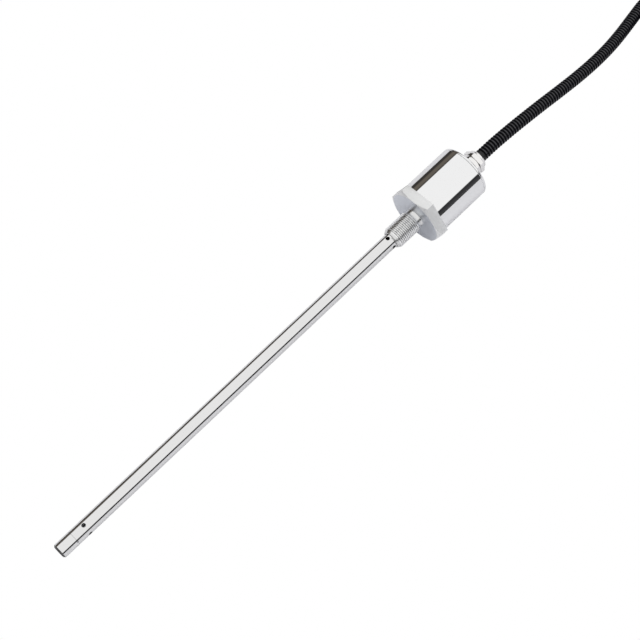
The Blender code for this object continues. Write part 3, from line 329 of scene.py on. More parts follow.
YELLOW = finish("yellow_insulation", (0.62, 0.36, 0.03), (0.74, 0.46, 0.06), (0.30, 0.42), 1200)
BLACK = finish("black_insulation", (0.012, 0.012, 0.012), (0.024, 0.024, 0.024), (0.30, 0.42),
               1200)
LEADS = (
    ("supply", BROWN, "brown_lead"), ("signal", YELLOW, "yellow_lead"),
    ("ground", BLACK, "black_lead"),
)


def through(knots, step):
    """Points one step apart on a Catmull-Rom curve through the knots."""
    ends = [2 * knots[0] - knots[1], *knots, 2 * knots[-1] - knots[-2]]
    fine = []
    for a, b, c, d in zip(ends, ends[1:], ends[2:], ends[3:]):
        for i in range(CURVE_STEPS):
            t = i / CURVE_STEPS
            bend = (2 * a - 5 * b + 4 * c - d) * t * t + (3 * b - a - 3 * c + d) * t ** 3
            fine.append(0.5 * (2 * b + (c - a) * t + bend))
    fine.append(knots[-1])
    line, left = [fine[0]], step
    for a, b in zip(fine, fine[1:]):
        span = (b - a).length
        while span >= left:
            a = a.lerp(b, left / span)
            line.append(a)
            span -= left
            left = step
        left -= span
    return line


def hose(name, line, radii, sides, surface, mouth=None):
    """A tube round a line of points, a radius for each, and at its end a mouth (radius, depth)."""
    rows, side = [], Vector((0, 1, 0))
    for i, point in enumerate(line):
        ahead = (line[min(i + 1, len(line) - 1)] - line[max(i - 1, 0)]).normalized()
        side = (side - ahead * side.dot(ahead)).normalized()
        over = ahead.cross(side)
        turns = [2 * pi * k / sides for k in range(sides)]
        spokes = [side * cos(turn) + over * sin(turn) for turn in turns]
        rows.append([point + spoke * radii[i] for spoke in spokes])
    if mouth:
        radius, depth = mouth
        rows.append([line[-1] + spoke * radius for spoke in spokes])
        rows.append([line[-1] - ahead * depth + spoke * radius for spoke in spokes])
    return mesh_piece(name, *skin(rows), surface)


def lying_height(x):
    """Height of the lying conduit's middle, which rises a little where the tie passes below."""
    share = min(1.0, abs(x - HANK_X - TIE_FROM_START) / TIE_SPAN)
    return LYING_Z + (TIED_Z - LYING_Z) * (0.5 + 0.5 * cos(pi * share))


end_along, end_side = END_ROUTE[-1]
leads_start = Vector((HANK_X + end_along + END_GAP, INNER_LANE + end_side,
                      lying_height(HANK_X + end_along)))
leads_end = Vector((leads_start.x - END_GAP + TAIL_LENGTH + IN_THE_NECK, BOOT_Y, BOOT_Z))
reach = leads_end.x - leads_start.x
halfway = (leads_start + leads_end) / 2
straight_out, straight_in = Vector((STRAIGHT_OUT * reach, 0, 0)), Vector((STRAIGHT_IN, 0, 0))
for i, (circuit, surface, slot_name) in enumerate(LEADS):
    turn = radians(-90 + 120 * i)
    offset = Vector((0, LEAD_SPREAD * cos(turn), LEAD_SPREAD * sin(turn)))
    first, last = leads_start + offset, leads_end + offset
    loose = halfway + Vector((0, BULGE * offset.y, offset.z))
    line = through([first, first + straight_out, loose, last - straight_in, last], LEAD_STEP)
    lead = hose(f"{circuit}_tail", line, [LEAD_R] * len(line), LEAD_SIDES, surface)
    mounted(lead, slot_name, f"tail_{circuit}_lead")

# Hank tie.
# A moulded black nylon strap with a square head, pulled tight round the first and last lanes
# of the hank.
TIE_ROUND = 0.00022
NYLON = finish("tie_nylon", (0.014, 0.014, 0.015), (0.024, 0.024, 0.026), (0.32, 0.44), 1800,
               bump=0.00006)
tie = moulded("hank_tie", "conduit_tie", NYLON, "conduit_black", TIE_ROUND)

# Conduit.
# A corrugated tube blown from black polyamide, with ribs 3.1 mm apart. It leaves the gland
# straight and sinks to the floor, and its far end is stored as a hank of one and a half turns.
ROOT_R, WALL, CONDUIT_SIDES, MOUTH_DEPTH, CREST_BAND = 0.0050, 0.0013, 24, 0.003, 0.0002
MOUTH_X, MOUTH_Z = 0.2545775, 0.0302195
HANK_LENGTH, HANK_TURN, TURN_STEPS = 0.160, 0.0372, 12
FAR_X, OUTER_TURN = HANK_X + HANK_LENGTH, HANK_TURN + LANE_PITCH / 2
BACK_LANE = HANK_Y - 2 * OUTER_TURN
RUN_ROUTE = (
    (0.000, 0.0000, 1.000), (0.016, 0.0000, 1.014), (0.036, -0.0002, 0.985),
    (0.056, -0.0005, 0.925), (0.078, -0.0009, 0.840), (0.102, -0.0012, 0.715),
    (0.128, -0.0009, 0.560), (0.154, 0.0007, 0.395), (0.178, 0.0036, 0.250),
    (0.200, 0.0076, 0.140), (0.221, 0.0120, 0.070),
)
FIRST_LANE = (-0.08, 0, 0.09, 0.19, 0.3, 0.5, 0.7, 0.92)
RETURN_LANE = (0.9, 0.7, 0.5, 0.3, 0.1)
RIB_PITCH = 0.0031
RIB_SHAPE = (0.0, 0.10, 0.55, 0.92, 1.0, 1.0, 0.92, 0.55, 0.10)
RIBBED = finish("conduit_black", (0.004, 0.0037, 0.008), (0.007, 0.0065, 0.013), (0.22, 0.32),
                1600, bump=0.00004, strength=0.2, specular=0.7)
# Painted shade: the grooves and the mouth get a darker copy of the black, with little shine, for
# the shade between the ribs.
GROOVE_SHADE = finish("conduit_groove_shade", (0.0013, 0.0013, 0.0025), (0.0026, 0.0026, 0.0045),
                (0.60, 0.75), 1600, bump=0.00004, strength=0.2, specular=0.08)


def conduit_knots():
    """The whole route of the conduit, from the cuff round the hank to its end."""
    knots = []
    for along, side, share in RUN_ROUTE:
        knots.append((MOUTH_X + along, side, LYING_Z + share * (MOUTH_Z - LYING_Z)))
    for share in FIRST_LANE:
        x = HANK_X + share * HANK_LENGTH
        knots.append((x, HANK_Y, lying_height(x)))
    turns = [pi * i / TURN_STEPS for i in range(TURN_STEPS + 1)]
    for turn in turns:
        knots.append((FAR_X + OUTER_TURN * sin(turn), HANK_Y - OUTER_TURN * (1 - cos(turn)),
                      LYING_Z))
    knots += [(HANK_X + share * HANK_LENGTH, BACK_LANE, LYING_Z) for share in RETURN_LANE]
    for turn in turns:
        x = HANK_X - HANK_TURN * sin(turn)
        knots.append((x, BACK_LANE + HANK_TURN * (1 - cos(turn)),
                      LYING_Z if turn < pi / 2 else lying_height(x)))
    for along, side in END_ROUTE:
        knots.append((HANK_X + along, INNER_LANE + side, lying_height(HANK_X + along)))
    return [Vector(knot) for knot in knots]


def also_finished(piece, surface, wants):
    """Gives a piece one more finish, on the faces that want it."""
    piece.data.materials.append(surface)
    for face in piece.data.polygons:
        if wants(face):
            face.material_index = len(piece.data.materials) - 1


middle_line = through(conduit_knots(), RIB_PITCH / len(RIB_SHAPE))
rib_radii = [ROOT_R + (CONDUIT_R - ROOT_R) * RIB_SHAPE[i % len(RIB_SHAPE)]
             for i in range(len(middle_line))]
conduit = hose("conduit", middle_line, rib_radii, CONDUIT_SIDES, RIBBED,
               (ROOT_R - WALL, MOUTH_DEPTH))


def in_groove_shade(face):
    """Whether a face of the conduit lies in a groove or in its mouth, where shade is painted."""
    ring = face.index // CONDUIT_SIDES
    return ring >= len(rib_radii) or min(rib_radii[ring:ring + 2]) < CONDUIT_R - CREST_BAND


also_finished(conduit, GROOVE_SHADE, in_groove_shade)
mounted(conduit, "conduit_black", "conduit_run")

# Probe tube.
# Drawn stainless tube, polished, 14 mm over a 1 mm wall. Four 3.8 mm vents near each end let
# the liquid in and the air out. It is fixed in the flange's socket.
PROBE_LENGTH, TUBE_R, TUBE_BORE, TIP_CHAMFER, TIP_LENGTH = 0.4188, 0.007, 0.006, 0.0016, 0.0165
HEX_FLATS, FACE_R, BOSS_END, SOCKET_DEPTH = 0.0525, 0.026, -0.0300, 0.014
CHAMFER_ANGLE = radians(30)
flat_chamfer = (HEX_FLATS / 2 - FACE_R) * tan(CHAMFER_ANGLE)
TILT = atan((HEX_FLATS / 2 - TUBE_R) / (flat_chamfer + PROBE_LENGTH - TIP_CHAMFER))
SENSOR = Matrix.Translation(FACE_MIDDLE) @ Matrix.Rotation(-TILT, 4, "Y")
VENT_R, VENT_PLACES = 0.0019, ((-PROBE_LENGTH + 0.0288, 7.5), (BOSS_END - 0.0034, 0.0))
DRILL_REACH, DRILL_SIDES = 0.009, 32
SEAM, SEAM_ROUND, SOCKET_GAP, BORE_BAND = 0.00012, 0.0001, 0.0003, 0.0004
TUBE_SIDES, TUBE_ROUND, TUBE_EDGE = 144, 0.00012, 50
ALONG_THE_AXIS = (0.02, 1, 1)
DRAWN = finish("drawn_steel", (0.765, 0.762, 0.760), (0.790, 0.788, 0.786), (0.05, 0.08), 1500,
               1, ALONG_THE_AXIS, bump=0.00001, strength=0.06)
# Painted shade: the bore gets a darkened copy of the steel, where it lies in the tube's shade.
BORE_SHADE = finish("tube_bore_shade", (0.10, 0.10, 0.10), (0.16, 0.16, 0.16), (0.45, 0.60), 1500, 1,
              ALONG_THE_AXIS)


def turned(name, profile, surface, sides, place=SENSOR):
    """A turned piece from its section, (X, radius) points: closed unless it starts on the axis."""
    verts, faces, rows = [], [], []
    for x, r in profile:
        if r == 0:
            rows.append([len(verts)] * sides)
            verts.append((x, 0, 0))
        else:
            rows.append(list(range(len(verts), len(verts) + sides)))
            turns = [2 * pi * k / sides for k in range(sides)]
            verts += [(x, r * cos(turn), r * sin(turn)) for turn in turns]
    pairs = list(zip(rows, rows[1:]))
    if profile[0][1] > 0:
        pairs.append((rows[-1], rows[0]))
    for one, two in pairs:
        for k in range(sides):
            n = (k + 1) % sides
            faces.append(tuple(dict.fromkeys((one[k], one[n], two[n], two[k]))))
    return mesh_piece(name, verts, faces, surface, place)


def carve(piece, tool, operation="DIFFERENCE"):
    """Cuts or trims a piece by a tool, which is used up."""
    step = piece.modifiers.new("carve", "BOOLEAN")
    step.operation = operation
    step.object = tool
    step.solver = "EXACT"
    shaped(piece)
    bpy.data.objects.remove(tool)


tube_start, tube_end = -PROBE_LENGTH + TIP_LENGTH + SEAM, BOSS_END + SOCKET_DEPTH - SOCKET_GAP
probe = turned("probe", [
    (tube_start, TUBE_BORE), (tube_start, TUBE_R - SEAM_ROUND), (tube_start + SEAM_ROUND, TUBE_R),
    (tube_end, TUBE_R), (tube_end, TUBE_BORE),
], DRAWN, TUBE_SIDES)
crosswise = Matrix.Rotation(radians(90), 4, "Z")
for along, first in VENT_PLACES:
    for quarter in (first, first + 90):
        middle = SENSOR @ Matrix.Translation((along, 0, 0))
        across = middle @ Matrix.Rotation(radians(quarter), 4, "X") @ crosswise
        carve(probe, turned("drill", [
            (-DRILL_REACH, 0), (-DRILL_REACH, VENT_R), (DRILL_REACH, VENT_R), (DRILL_REACH, 0),
        ], None, DRILL_SIDES, across))
break_edges(probe, TUBE_ROUND, TUBE_EDGE)
# Painted shade on the faces inside the tube's outer skin: its bore and the inner part of its
# vents.
also_finished(probe, BORE_SHADE, lambda face: face.center.yz.length < TUBE_R - BORE_BAND)
mounted(probe, "polished_steel", "probe_tube")

# Tip bush.
# A sleeve turned from bar and polished, pressed into the tube behind a fine seam and held by
# one small spot of weld. Its end has a dull chamfer, darkened by painted shade, and its bore
# holds the insulating plug.
SLEEVE_BORE, SPIGOT_R, SPIGOT = 0.0050, 0.0057, 0.006
NOSE_ROUND, RIM_ROUND, CHAMFER_BAND = 0.00015, 0.0003, 0.0002
WELD_ROOT, WELD_R, WELD_TURN, WELD_SIDES = 0.0066, 0.00085, 155.4, 32
WELD_CROWN = ((0.00004, 0.8), (0.00005, 0.4), (0.00002, 0))
SLEEVE = finish("polished_sleeve", (0.775, 0.773, 0.770), (0.800, 0.798, 0.795), (0.03, 0.05),
                1500, 1, ALONG_THE_AXIS, bump=0.00001, strength=0.04)
# The chamfer's roughness is its dull turned finish; its near-black colour is painted shade.
DULL_CHAMFER_SHADE = finish("dull_chamfer_shade", (0.11, 0.11, 0.11), (0.16, 0.16, 0.16), (0.34, 0.46), 2400, 1)
WELD = finish("weld_spot", (0.30, 0.30, 0.31), (0.42, 0.42, 0.43), (0.38, 0.52), 3000, 1,
              bump=0.00006, strength=0.4)


def arc(x, r, radius, start, end, steps):
    """Section points on an arc, by angle in degrees from the +X direction."""
    turns = [radians(start + (end - start) * i / steps) for i in range(steps + 1)]
    return [(x + radius * cos(turn), r + radius * sin(turn)) for turn in turns]


tip_end, tip_seat = -PROBE_LENGTH, -PROBE_LENGTH + TIP_LENGTH


def on_the_shaded_chamfer(face):
    """Whether a face of the sleeve is its end face or its chamfer, which get painted shade."""
    inside_the_rim = face.center.yz.length < TUBE_R - RIM_ROUND
    return inside_the_rim and face.center.x < tip_end + TIP_CHAMFER - CHAMFER_BAND


sleeve = turned("tip_sleeve", [
    (tip_end, SLEEVE_BORE), (tip_end, TUBE_R - TIP_CHAMFER - NOSE_ROUND),
    *arc(tip_end + NOSE_ROUND, TUBE_R - TIP_CHAMFER, NOSE_ROUND, 180, 135, 2),
    *arc(tip_end + TIP_CHAMFER, TUBE_R - RIM_ROUND, RIM_ROUND, 135, 90, 3),
    (tip_seat - SEAM_ROUND, TUBE_R), (tip_seat, TUBE_R - SEAM_ROUND), (tip_seat, SPIGOT_R),
    (tip_seat + SPIGOT, SPIGOT_R), (tip_seat + SPIGOT, SLEEVE_BORE),
], SLEEVE, TUBE_SIDES)
also_finished(sleeve, DULL_CHAMFER_SHADE, on_the_shaded_chamfer)
mounted(sleeve, "polished_steel", "tip_bush")
seam_middle = SENSOR @ Matrix.Translation((tip_seat + SEAM / 2, 0, 0))
weld = turned("tip_weld", [
    (WELD_ROOT, 0), (WELD_ROOT, WELD_R), (TUBE_R, WELD_R),
    *[(TUBE_R + rise, share * WELD_R) for rise, share in WELD_CROWN],
], WELD, WELD_SIDES, seam_middle @ Matrix.Rotation(radians(WELD_TURN), 4, "X") @ crosswise)
mounted(weld, "satin_steel")

# Inner electrode.
# A straight rod of ground stainless steel. A plug moulded from black plastic in the tip and two
# notched spacers cut from white fluoropolymer keep it in the middle of the tube. The plug's
# near-black, unshining end is partly its own black and partly painted shade of the tip's bore.
ROD = finish("rod_steel", (0.20, 0.20, 0.21), (0.30, 0.30, 0.31), (0.30, 0.42), 1800, 1,
             ALONG_THE_AXIS)
# The plug's colour is its own black together with painted shade: near black and almost without
# shine.
PLUG_BLACK_AND_SHADE = finish("tip_plug_black_and_shade", (0.010, 0.010, 0.010), (0.018, 0.018, 0.019), (0.70, 0.85), 2400,
              bump=0.00008, specular=0.05)
WHITE = finish("white_insulator", (0.74, 0.74, 0.70), (0.84, 0.84, 0.81), (0.36, 0.50), 2000)
dressed(ROD, "inner_electrode")
dressed(PLUG_BLACK_AND_SHADE, "tip_insulator")
dressed(WHITE, "spacer_1", "spacer_2")

# Process flange.
# Turned in one piece from hexagon bar: chamfered corners, a relief neck, and a G 1/2 thread
# with a painted highlight on its rounded crests and painted shade in its grooves. The flats
# keep the bar's drawn skin.
THREAD_R, THREAD_PITCH, THREAD_DEPTH, CREST_FULLNESS = 0.0104775, 0.0254 / 14, 0.00116, 1.3
LEAD_DEPTH, LEAD_LENGTH, RUN_OUT_SLOPE = 0.0021, 0.0034, 1.2
NECK_X, NECK_R, NECK_ROUND, SOCKET_R, IN_THE_FLANGE = -0.0045, 0.0092, 0.0004, 0.0073, 0.002
BOSS_SIDES, STEPS_A_TURN, BOSS_CREASE = 120, 12, 60
CUT_START, CUT_END = BOSS_END + 0.6 * LEAD_LENGTH, NECK_X - 0.0008
GROOVE_R = THREAD_R - 0.75 * THREAD_DEPTH
HEX_DEPTH, FLANGE_BORE, FLANGE_SIDES, FLANGE_ROUND, FLANGE_EDGE = 0.010, 0.0085, 192, 0.00022, 12
SPARE, FACING_NORMAL = 0.001, 0.95
ROUND_THE_AXIS = (1, 0.02, 0.02)
TURNED = finish("turned_steel", (0.72, 0.72, 0.715), (0.77, 0.77, 0.765), (0.20, 0.27), 2500, 1,
                ROUND_THE_AXIS, bump=0.00001, strength=0.15)
# Lit and shaded copies of the turned steel: a painted highlight on the thread's crests and painted
# shade in its grooves.
CREST_HIGHLIGHT = finish("thread_crest_highlight", (0.93, 0.93, 0.925), (0.97, 0.97, 0.965), (0.18, 0.25), 2500, 1,
               ROUND_THE_AXIS, bump=0.00001, strength=0.15)
ROOT_SHADE = finish("thread_root_shade", (0.41, 0.41, 0.41), (0.47, 0.47, 0.47), (0.36, 0.46), 2500, 1,
              ROUND_THE_AXIS, bump=0.00001, strength=0.15)
FACED = finish("faced_steel", (0.69, 0.715, 0.76), (0.73, 0.755, 0.80), (0.30, 0.40), 2200, 1,
               bump=0.00001, strength=0.15)
FLATS = finish("bar_flats", (0.86, 0.865, 0.865), (0.90, 0.905, 0.905), (0.54, 0.62), 1600, 1,
               ALONG_THE_AXIS, bump=0.00002, strength=0.2)


def thread_radius(x, share):
    """Radius of the threaded boss at X, for a share of a whole turn round it."""
    wave = 0.5 + 0.5 * cos(2 * pi * (x / THREAD_PITCH - share))
    thread = THREAD_R - THREAD_DEPTH * wave ** CREST_FULLNESS
    lead_in = THREAD_R - LEAD_DEPTH + (x - BOSS_END) * LEAD_DEPTH / LEAD_LENGTH
    run_out = NECK_R + (NECK_X - x) * RUN_OUT_SLOPE
    return min(thread, lead_in, run_out)


def threaded_boss():
    """Closed skin of the boss: socket bore, end face, thread and neck."""
    inner_end = NECK_R + NECK_ROUND
    rows = [[(x, SOCKET_R)] * BOSS_SIDES for x in (IN_THE_FLANGE, BOSS_END)]
    steps = ceil((NECK_X - BOSS_END) / THREAD_PITCH * STEPS_A_TURN)
    for i in range(steps + 1):
        x = BOSS_END + (NECK_X - BOSS_END) * i / steps
        rows.append([(x, thread_radius(x, k / BOSS_SIDES)) for k in range(BOSS_SIDES)])
    for x, r in ((NECK_X + NECK_ROUND, NECK_R), (-NECK_ROUND, NECK_R), (0.0, inner_end),
                 (IN_THE_FLANGE, inner_end)):
        rows.append([(x, r)] * BOSS_SIDES)
    turns = [2 * pi * k / BOSS_SIDES for k in range(BOSS_SIDES)]
    points = [[(x, r * cos(turn), r * sin(turn)) for turn, (x, r) in zip(turns, row)]
              for row in rows]
    return mesh_piece("threaded_boss", *skin(points, ring=True), TURNED, SENSOR, BOSS_CREASE)


def corner_radius(flats):
    """Distance from a hexagon's middle to its corners."""
    return flats / 2 / cos(pi / 6)


def hexagon(flats, start, end, turn=0):
    """A hexagon prism along X, with a flat below where turn is 0."""
    reach = corner_radius(flats)
    angles = [pi / 3 * k + radians(turn) for k in range(6)]
    rows = [[(x, reach * cos(a), reach * sin(a)) for a in angles] for x in (start, end)]
    return mesh_piece("hexagon", *skin(rows), None, SENSOR)


def in_the_thread(face):
    """Whether a face of the boss belongs to the thread behind its lead-in."""
    return CUT_START < face.center.x < CUT_END


blank_r = corner_radius(HEX_FLATS) + SPARE
flange = turned("flange", [
    (0.0, FLANGE_BORE), (0.0, FACE_R), ((blank_r - FACE_R) * tan(CHAMFER_ANGLE), blank_r),
    (HEX_DEPTH + SPARE, blank_r), (HEX_DEPTH + SPARE, FLANGE_BORE),
], FACED, FLANGE_SIDES)
carve(flange, hexagon(HEX_FLATS, -SPARE, HEX_DEPTH), "INTERSECT")
break_edges(flange, FLANGE_ROUND, FLANGE_EDGE)
also_finished(flange, FLATS, lambda face: abs(face.normal.x) < FACING_NORMAL)
boss = threaded_boss()
# Painted highlight on the thread, then painted shade on its grooves.
also_finished(boss, CREST_HIGHLIGHT, in_the_thread)
also_finished(boss, ROOT_SHADE, lambda face: in_the_thread(face) and face.center.yz.length < GROOVE_R)
mounted(flange, "satin_steel", "process_flange")
mounted(boss, "satin_steel")

# Feed-through.
# A white fluoropolymer bush carries the rod through the flange and insulates it. Two O-rings
# seal it, and a nut pulls the rod up over a washer and a contact lug.
dressed(WHITE, "feed_through_bush")
dressed(ROD, "rod_nut", "clamp_washer")
dressed(TINNED, "contact_lug")
dressed(RUBBER, "bush_seal", "rod_seal")

# Head housing.
# A length of polished stainless tube with a 2 mm wall, welded over the flange's spigot. It
# holds the boards, and its far end takes the cap.
HEAD_R, HEAD_BORE, CAP_SEAT, HEAD_SIDES = 0.0255, 0.0235, 0.0621, 192
WELD_GAP, CAP_GAP, HEAD_ROUND, LIP_ALONG, LIP_DROP = 0.00005, 0.0001, 0.0001, 0.0004, 0.0003
MIRROR = finish("polished_head", (0.845, 0.845, 0.847), (0.868, 0.868, 0.870), (0.03, 0.06),
                1200, 1, ALONG_THE_AXIS, bump=0.00001, strength=0.06)
head_start, head_lip = HEX_DEPTH + WELD_GAP, CAP_SEAT - CAP_GAP
housing = turned("head_shell", [
    (head_start, HEAD_BORE), (head_start, HEAD_R - HEAD_ROUND), (head_start + HEAD_ROUND, HEAD_R),
    (head_lip - LIP_ALONG, HEAD_R), (head_lip, HEAD_R - LIP_DROP), (head_lip, HEAD_BORE),
], MIRROR, HEAD_SIDES)
mounted(housing, "polished_steel", "head_housing")

# Boards.
# Two round glass-fibre boards on nickel-plated hexagon pillars, held by three screws. They carry
# two chips, a filter capacitor and a terminal block, and a soldered link joins them.
NICKEL = finish("bright_nickel", (0.84, 0.83, 0.82), (0.90, 0.89, 0.88), (0.05, 0.10), 700, 1,
                bump=0.00001, strength=0.1)
CAN = finish("capacitor_can", (0.62, 0.63, 0.65), (0.72, 0.73, 0.75), (0.28, 0.38), 1400, 1,
             ALONG_THE_AXIS)
MASK = finish("solder_mask", (0.008, 0.11, 0.035), (0.016, 0.19, 0.065), (0.25, 0.40), 1200)
MOULD = finish("chip_mould", (0.016, 0.016, 0.017), (0.032, 0.032, 0.034), (0.40, 0.55), 3000)
BLOCK = finish("terminal_green", (0.03, 0.22, 0.08), (0.06, 0.32, 0.13), (0.34, 0.46), 2000)
for number in (1, 2, 3):
    dressed(NICKEL, f"lower_pillar_{number}", f"upper_pillar_{number}", f"board_screw_{number}")
dressed(MASK, "measuring_board", "output_board")
dressed(MOULD, "measuring_chip", "controller_chip", "board_link")
dressed(CAN, "filter_capacitor")
dressed(BLOCK, "terminal_block")

# Inner leads.
# The same three insulated copper leads at their other end: clamped in the terminal block, they
# pass through the cap and the gland into the conduit.
for circuit, surface, _ in LEADS:
    dressed(surface, f"{circuit}_lead")

# End cap.
# Turned from stainless bar and polished. It sits in the housing's end behind a fine groove,
# over its O-ring, and its outer edge is rounded.
HEAD_END, EDGE_R, EDGE_STEPS, CAP_HOLE, CAP_DEPTH = 0.065, 0.0024, 12, 0.008, 0.004
RIM_START, RIM_BORE, RIM_R = 0.0545, 0.019, 0.0232
GROOVE_BOTTOM, CAP_ROUND = HEAD_R - 0.0004, 0.0002
cap = turned("head_cap", [
    (RIM_START, RIM_BORE), (RIM_START, RIM_R), (head_lip, RIM_R), (head_lip, GROOVE_BOTTOM),
    (CAP_SEAT, GROOVE_BOTTOM), (CAP_SEAT, HEAD_R - CAP_ROUND), (CAP_SEAT + CAP_ROUND, HEAD_R),
    *arc(HEAD_END - EDGE_R, HEAD_R - EDGE_R, EDGE_R, 90, 0, EDGE_STEPS), (HEAD_END, CAP_HOLE),
    (HEAD_END - CAP_DEPTH, CAP_HOLE), (HEAD_END - CAP_DEPTH, RIM_BORE),
], MIRROR, HEAD_SIDES)
mounted(cap, "polished_steel", "end_cap")
dressed(RUBBER, "cap_seal")

# Cable gland.
# Nickel-plated brass: a body with a 20 mm hexagon screwed through the cap against a lock nut,
# and a hexagon nut with a long rounded taper that squeezes the seal round the conduit's cuff.
GLAND_FLATS, GLAND_BORE, GLAND_NECK_R, CORNER_UP = 0.020, 0.0062, 0.0084, 26
BASE_START, BASE_END, GLAND_END = HEAD_END + 0.0001, HEAD_END + 0.0092, 0.0828
GLAND_NECK, NUT_GAP, THREAD_GAP, NUT_CHAMFER, PAST_NECK = 0.004, 0.0003, 0.0003, 0.0004, 0.003
CAVITY_MOUTH, NUT_MOUTH, FACE_EDGE = 0.0790, 0.0066, GLAND_FLATS / 2 - 0.0004
GLAND_BLANK = corner_radius(GLAND_FLATS) + 0.0005
BEVEL = GLAND_BLANK - GLAND_FLATS / 2
ROUND_OVER = ((0.0022, 0.0), (0.0018, 0.0007), (0.0007, 0.0012), (0.0002, 0.0019))
TAPER = (
    (0.0050, 0.01205), (0.0044, 0.0110), (0.0040, 0.0103), (0.0035, 0.0098), (0.0029, 0.0095),
    (0.0015, 0.0089), (0.0009, 0.0083), (0.0004, 0.0076), (0.0, 0.0069),
)
BASE_SIDES, BASE_ROUND, BASE_EDGE = 96, 0.00015, 20
NUT_SIDES, NUT_ROUND, NUT_EDGE = 128, 0.0002, 40
body = turned("gland_base", [
    (BASE_START, GLAND_BORE), (BASE_START, GLAND_BLANK - BEVEL),
    (BASE_START + 0.5 * BEVEL, GLAND_BLANK),
    *[(BASE_END - back_off, GLAND_BLANK - drop) for back_off, drop in ROUND_OVER],
    (BASE_END, FACE_EDGE), (BASE_END, GLAND_NECK_R), (BASE_END + GLAND_NECK, GLAND_NECK_R),
    (BASE_END + GLAND_NECK, GLAND_BORE),
], NICKEL, BASE_SIDES)
trim_end = BASE_END + GLAND_NECK + PAST_NECK
carve(body, hexagon(GLAND_FLATS, BASE_START - SPARE, trim_end, CORNER_UP), "INTERSECT")
break_edges(body, BASE_ROUND, BASE_EDGE)
mounted(body, "nickel_plated_brass", "gland_body")
nut_start = BASE_END + NUT_GAP
nut = turned("gland_dome_nut", [
    (nut_start, GLAND_NECK_R + THREAD_GAP), (nut_start, FACE_EDGE),
    (nut_start + NUT_CHAMFER, GLAND_BLANK),
    *[(GLAND_END - before, r) for before, r in TAPER], (GLAND_END, NUT_MOUTH),
    (CAVITY_MOUTH, NUT_MOUTH), (CAVITY_MOUTH, GLAND_NECK_R + THREAD_GAP),
], NICKEL, NUT_SIDES)
carve(nut, hexagon(GLAND_FLATS, nut_start - SPARE, GLAND_END + SPARE, CORNER_UP), "INTERSECT")
break_edges(nut, NUT_ROUND, NUT_EDGE)
mounted(nut, "nickel_plated_brass", "gland_nut")
dressed(NICKEL, "gland_lock_nut")
dressed(RUBBER, "gland_seal")

# Conduit cuff.
# A smooth end sleeve moulded from black polyamide, pushed over the conduit's first ribs and
# gripped by the gland's seal.
CUFF_START, CUFF_END, CUFF_R, CUFF_BORE, CUFF_SIDES = 0.0690, 0.0866, 0.00585, 0.0046, 48
CUFF_LIP, CUFF_LIP_R = 0.0006, 0.0053
CUFF = finish("cuff_black", (0.007, 0.007, 0.008), (0.013, 0.013, 0.015), (0.30, 0.40), 1600,
              bump=0.00004, strength=0.25, specular=0.35)
cuff = turned("cuff", [
    (CUFF_START, CUFF_BORE), (CUFF_START, CUFF_R), (CUFF_END - CUFF_LIP, CUFF_R),
    (CUFF_END, CUFF_LIP_R), (CUFF_END, CUFF_BORE),
], CUFF, CUFF_SIDES)
mounted(cuff, "conduit_black", "conduit_cuff")

# Floor.
# A pale matt sheet. The camera sees it as plain white, and the polished steel mirrors it as
# the pale grey that it is.
FLOOR_CORNERS = ((-0.9, -0.60, 0), (1.3, -0.60, 0), (1.3, 0.72, 0), (-0.9, 0.72, 0))
PAPER, PAPER_ROUGHNESS, PAPER_SHEEN = (0.925, 0.925, 0.955), 0.8, 0.2
floor_mesh = bpy.data.meshes.new("floor")
floor_mesh.from_pydata(FLOOR_CORNERS, [], [(0, 1, 2, 3)])
ground = bpy.data.objects.new("floor", floor_mesh)
bpy.context.scene.collection.objects.link(ground)
paper = bpy.data.materials.new("paper")
paper.use_nodes = True
sheet = paper.node_tree.nodes["Principled BSDF"]
sheet.inputs["Base Color"].default_value = (*PAPER, 1)
sheet.inputs["Roughness"].default_value = PAPER_ROUGHNESS
sheet.inputs["Specular IOR Level"].default_value = PAPER_SHEEN


def white_to_camera(tree, own, white_kind, target):
    """Shows plain white to the camera and the tree's own shader to everything else."""
    white = tree.nodes.new(white_kind)
    path = tree.nodes.new("ShaderNodeLightPath")
    choose = tree.nodes.new("ShaderNodeMixShader")
    white.inputs["Color"].default_value = (1, 1, 1, 1)
    tree.links.new(path.outputs["Is Camera Ray"], choose.inputs["Fac"])
    tree.links.new(own.outputs[0], choose.inputs[1])
    tree.links.new(white.outputs[0], choose.inputs[2])
    tree.links.new(choose.outputs["Shader"], tree.nodes[target].inputs["Surface"])


white_to_camera(paper.node_tree, sheet, "ShaderNodeEmission", "Material Output")
floor_mesh.materials.append(paper)

# Light.
# A wide soft light hangs overhead and another stands past the gland. Round them, and past the
# tip, the room is dark down to the pale floor, which gives the steel its narrow dark bands.
NEAR_EDGE, FAR_EDGE, NEAR_FLOOR, FAR_FLOOR, FAR_GLOW = 20.2, 139.8, -5.2, -177.5, (149, 160, 167)
BOX_BLUR, FLOOR_BLUR = 0.8, 0.6
SOFTBOX, PALE_FLOOR = (1.0, 1.0, 1.0), (0.80, 0.80, 0.84)
NEAR_DARK, NEAR_DIM = (0.022, 0.022, 0.024), (0.068, 0.068, 0.070)
FAR_DARK, FAR_DIM = (0.045, 0.040, 0.036), (0.135, 0.118, 0.098)
END_LIGHT, END_DARK, END_DIM = (0.84, 0.94), (-0.93, -0.80), (0.08, 0.08, 0.085)
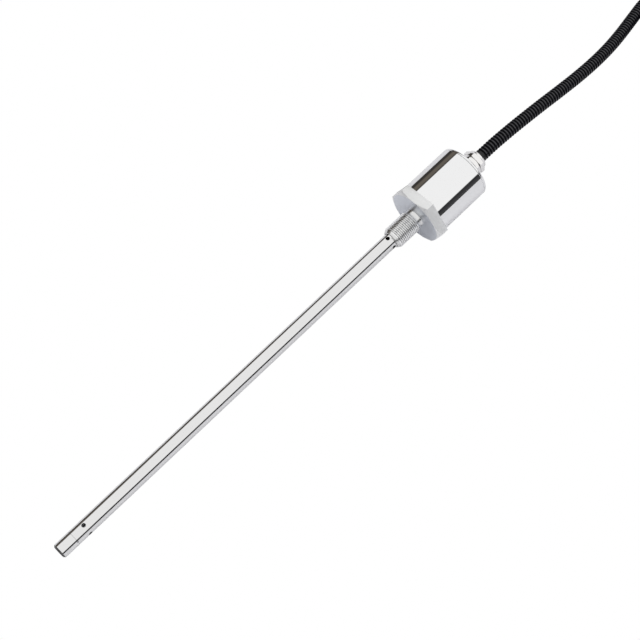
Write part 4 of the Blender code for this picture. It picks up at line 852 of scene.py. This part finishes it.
# Tones of the room round the probe's axis, by the angle from the level on the camera's side.
BANDS = (
    (-180, FAR_DARK), (FAR_FLOOR - FLOOR_BLUR, FAR_DARK), (FAR_FLOOR + FLOOR_BLUR, PALE_FLOOR),
    (NEAR_FLOOR - FLOOR_BLUR, PALE_FLOOR), (NEAR_FLOOR + FLOOR_BLUR, NEAR_DIM),
    (NEAR_EDGE - BOX_BLUR, NEAR_DARK), (NEAR_EDGE + BOX_BLUR, SOFTBOX),
    (FAR_EDGE - BOX_BLUR, SOFTBOX), (FAR_EDGE + BOX_BLUR, FAR_DARK),
    (FAR_GLOW[0], FAR_DIM), (FAR_GLOW[1], FAR_DIM), (FAR_GLOW[2], FAR_DARK),
)
room = bpy.data.worlds.new("studio")
bpy.context.scene.world = room
room.use_nodes = True
tree = room.node_tree
sky = tree.nodes["Background"]
way = tree.nodes.new("ShaderNodeTexCoord")
split = tree.nodes.new("ShaderNodeSeparateXYZ")
tree.links.new(way.outputs["Generated"], split.inputs[0])
flip = tree.nodes.new("ShaderNodeMath")
flip.operation = "MULTIPLY"
flip.inputs[1].default_value = -1
tree.links.new(split.outputs["Y"], flip.inputs[0])
round_axis = tree.nodes.new("ShaderNodeMath")
round_axis.operation = "ARCTAN2"
tree.links.new(split.outputs["Z"], round_axis.inputs[0])
tree.links.new(flip.outputs[0], round_axis.inputs[1])
bands = tree.nodes.new("ShaderNodeValToRGB")
stops = bands.color_ramp.elements
for i, (degrees_up, colour) in enumerate(BANDS):
    position = (degrees_up + 180) / 360
    stop = stops[i] if i < 2 else stops.new(position)
    stop.position = position
    stop.color = (*colour, 1)
tree.links.new(spread(tree, round_axis.outputs[0], -pi, pi), bands.inputs["Fac"])
# Past the gland it is bright, and past the tip it is dim, by how far a direction leans that way.
axial = split.outputs["X"]
past_gland = blend(tree, spread(tree, axial, *END_LIGHT), bands.outputs["Color"], SOFTBOX)
past_tip = blend(tree, spread(tree, axial, *END_DARK), END_DIM, past_gland)
tree.links.new(past_tip, sky.inputs["Color"])
white_to_camera(tree, sky, "ShaderNodeBackground", "World Output")
bpy.context.scene.view_settings.view_transform = "Standard"
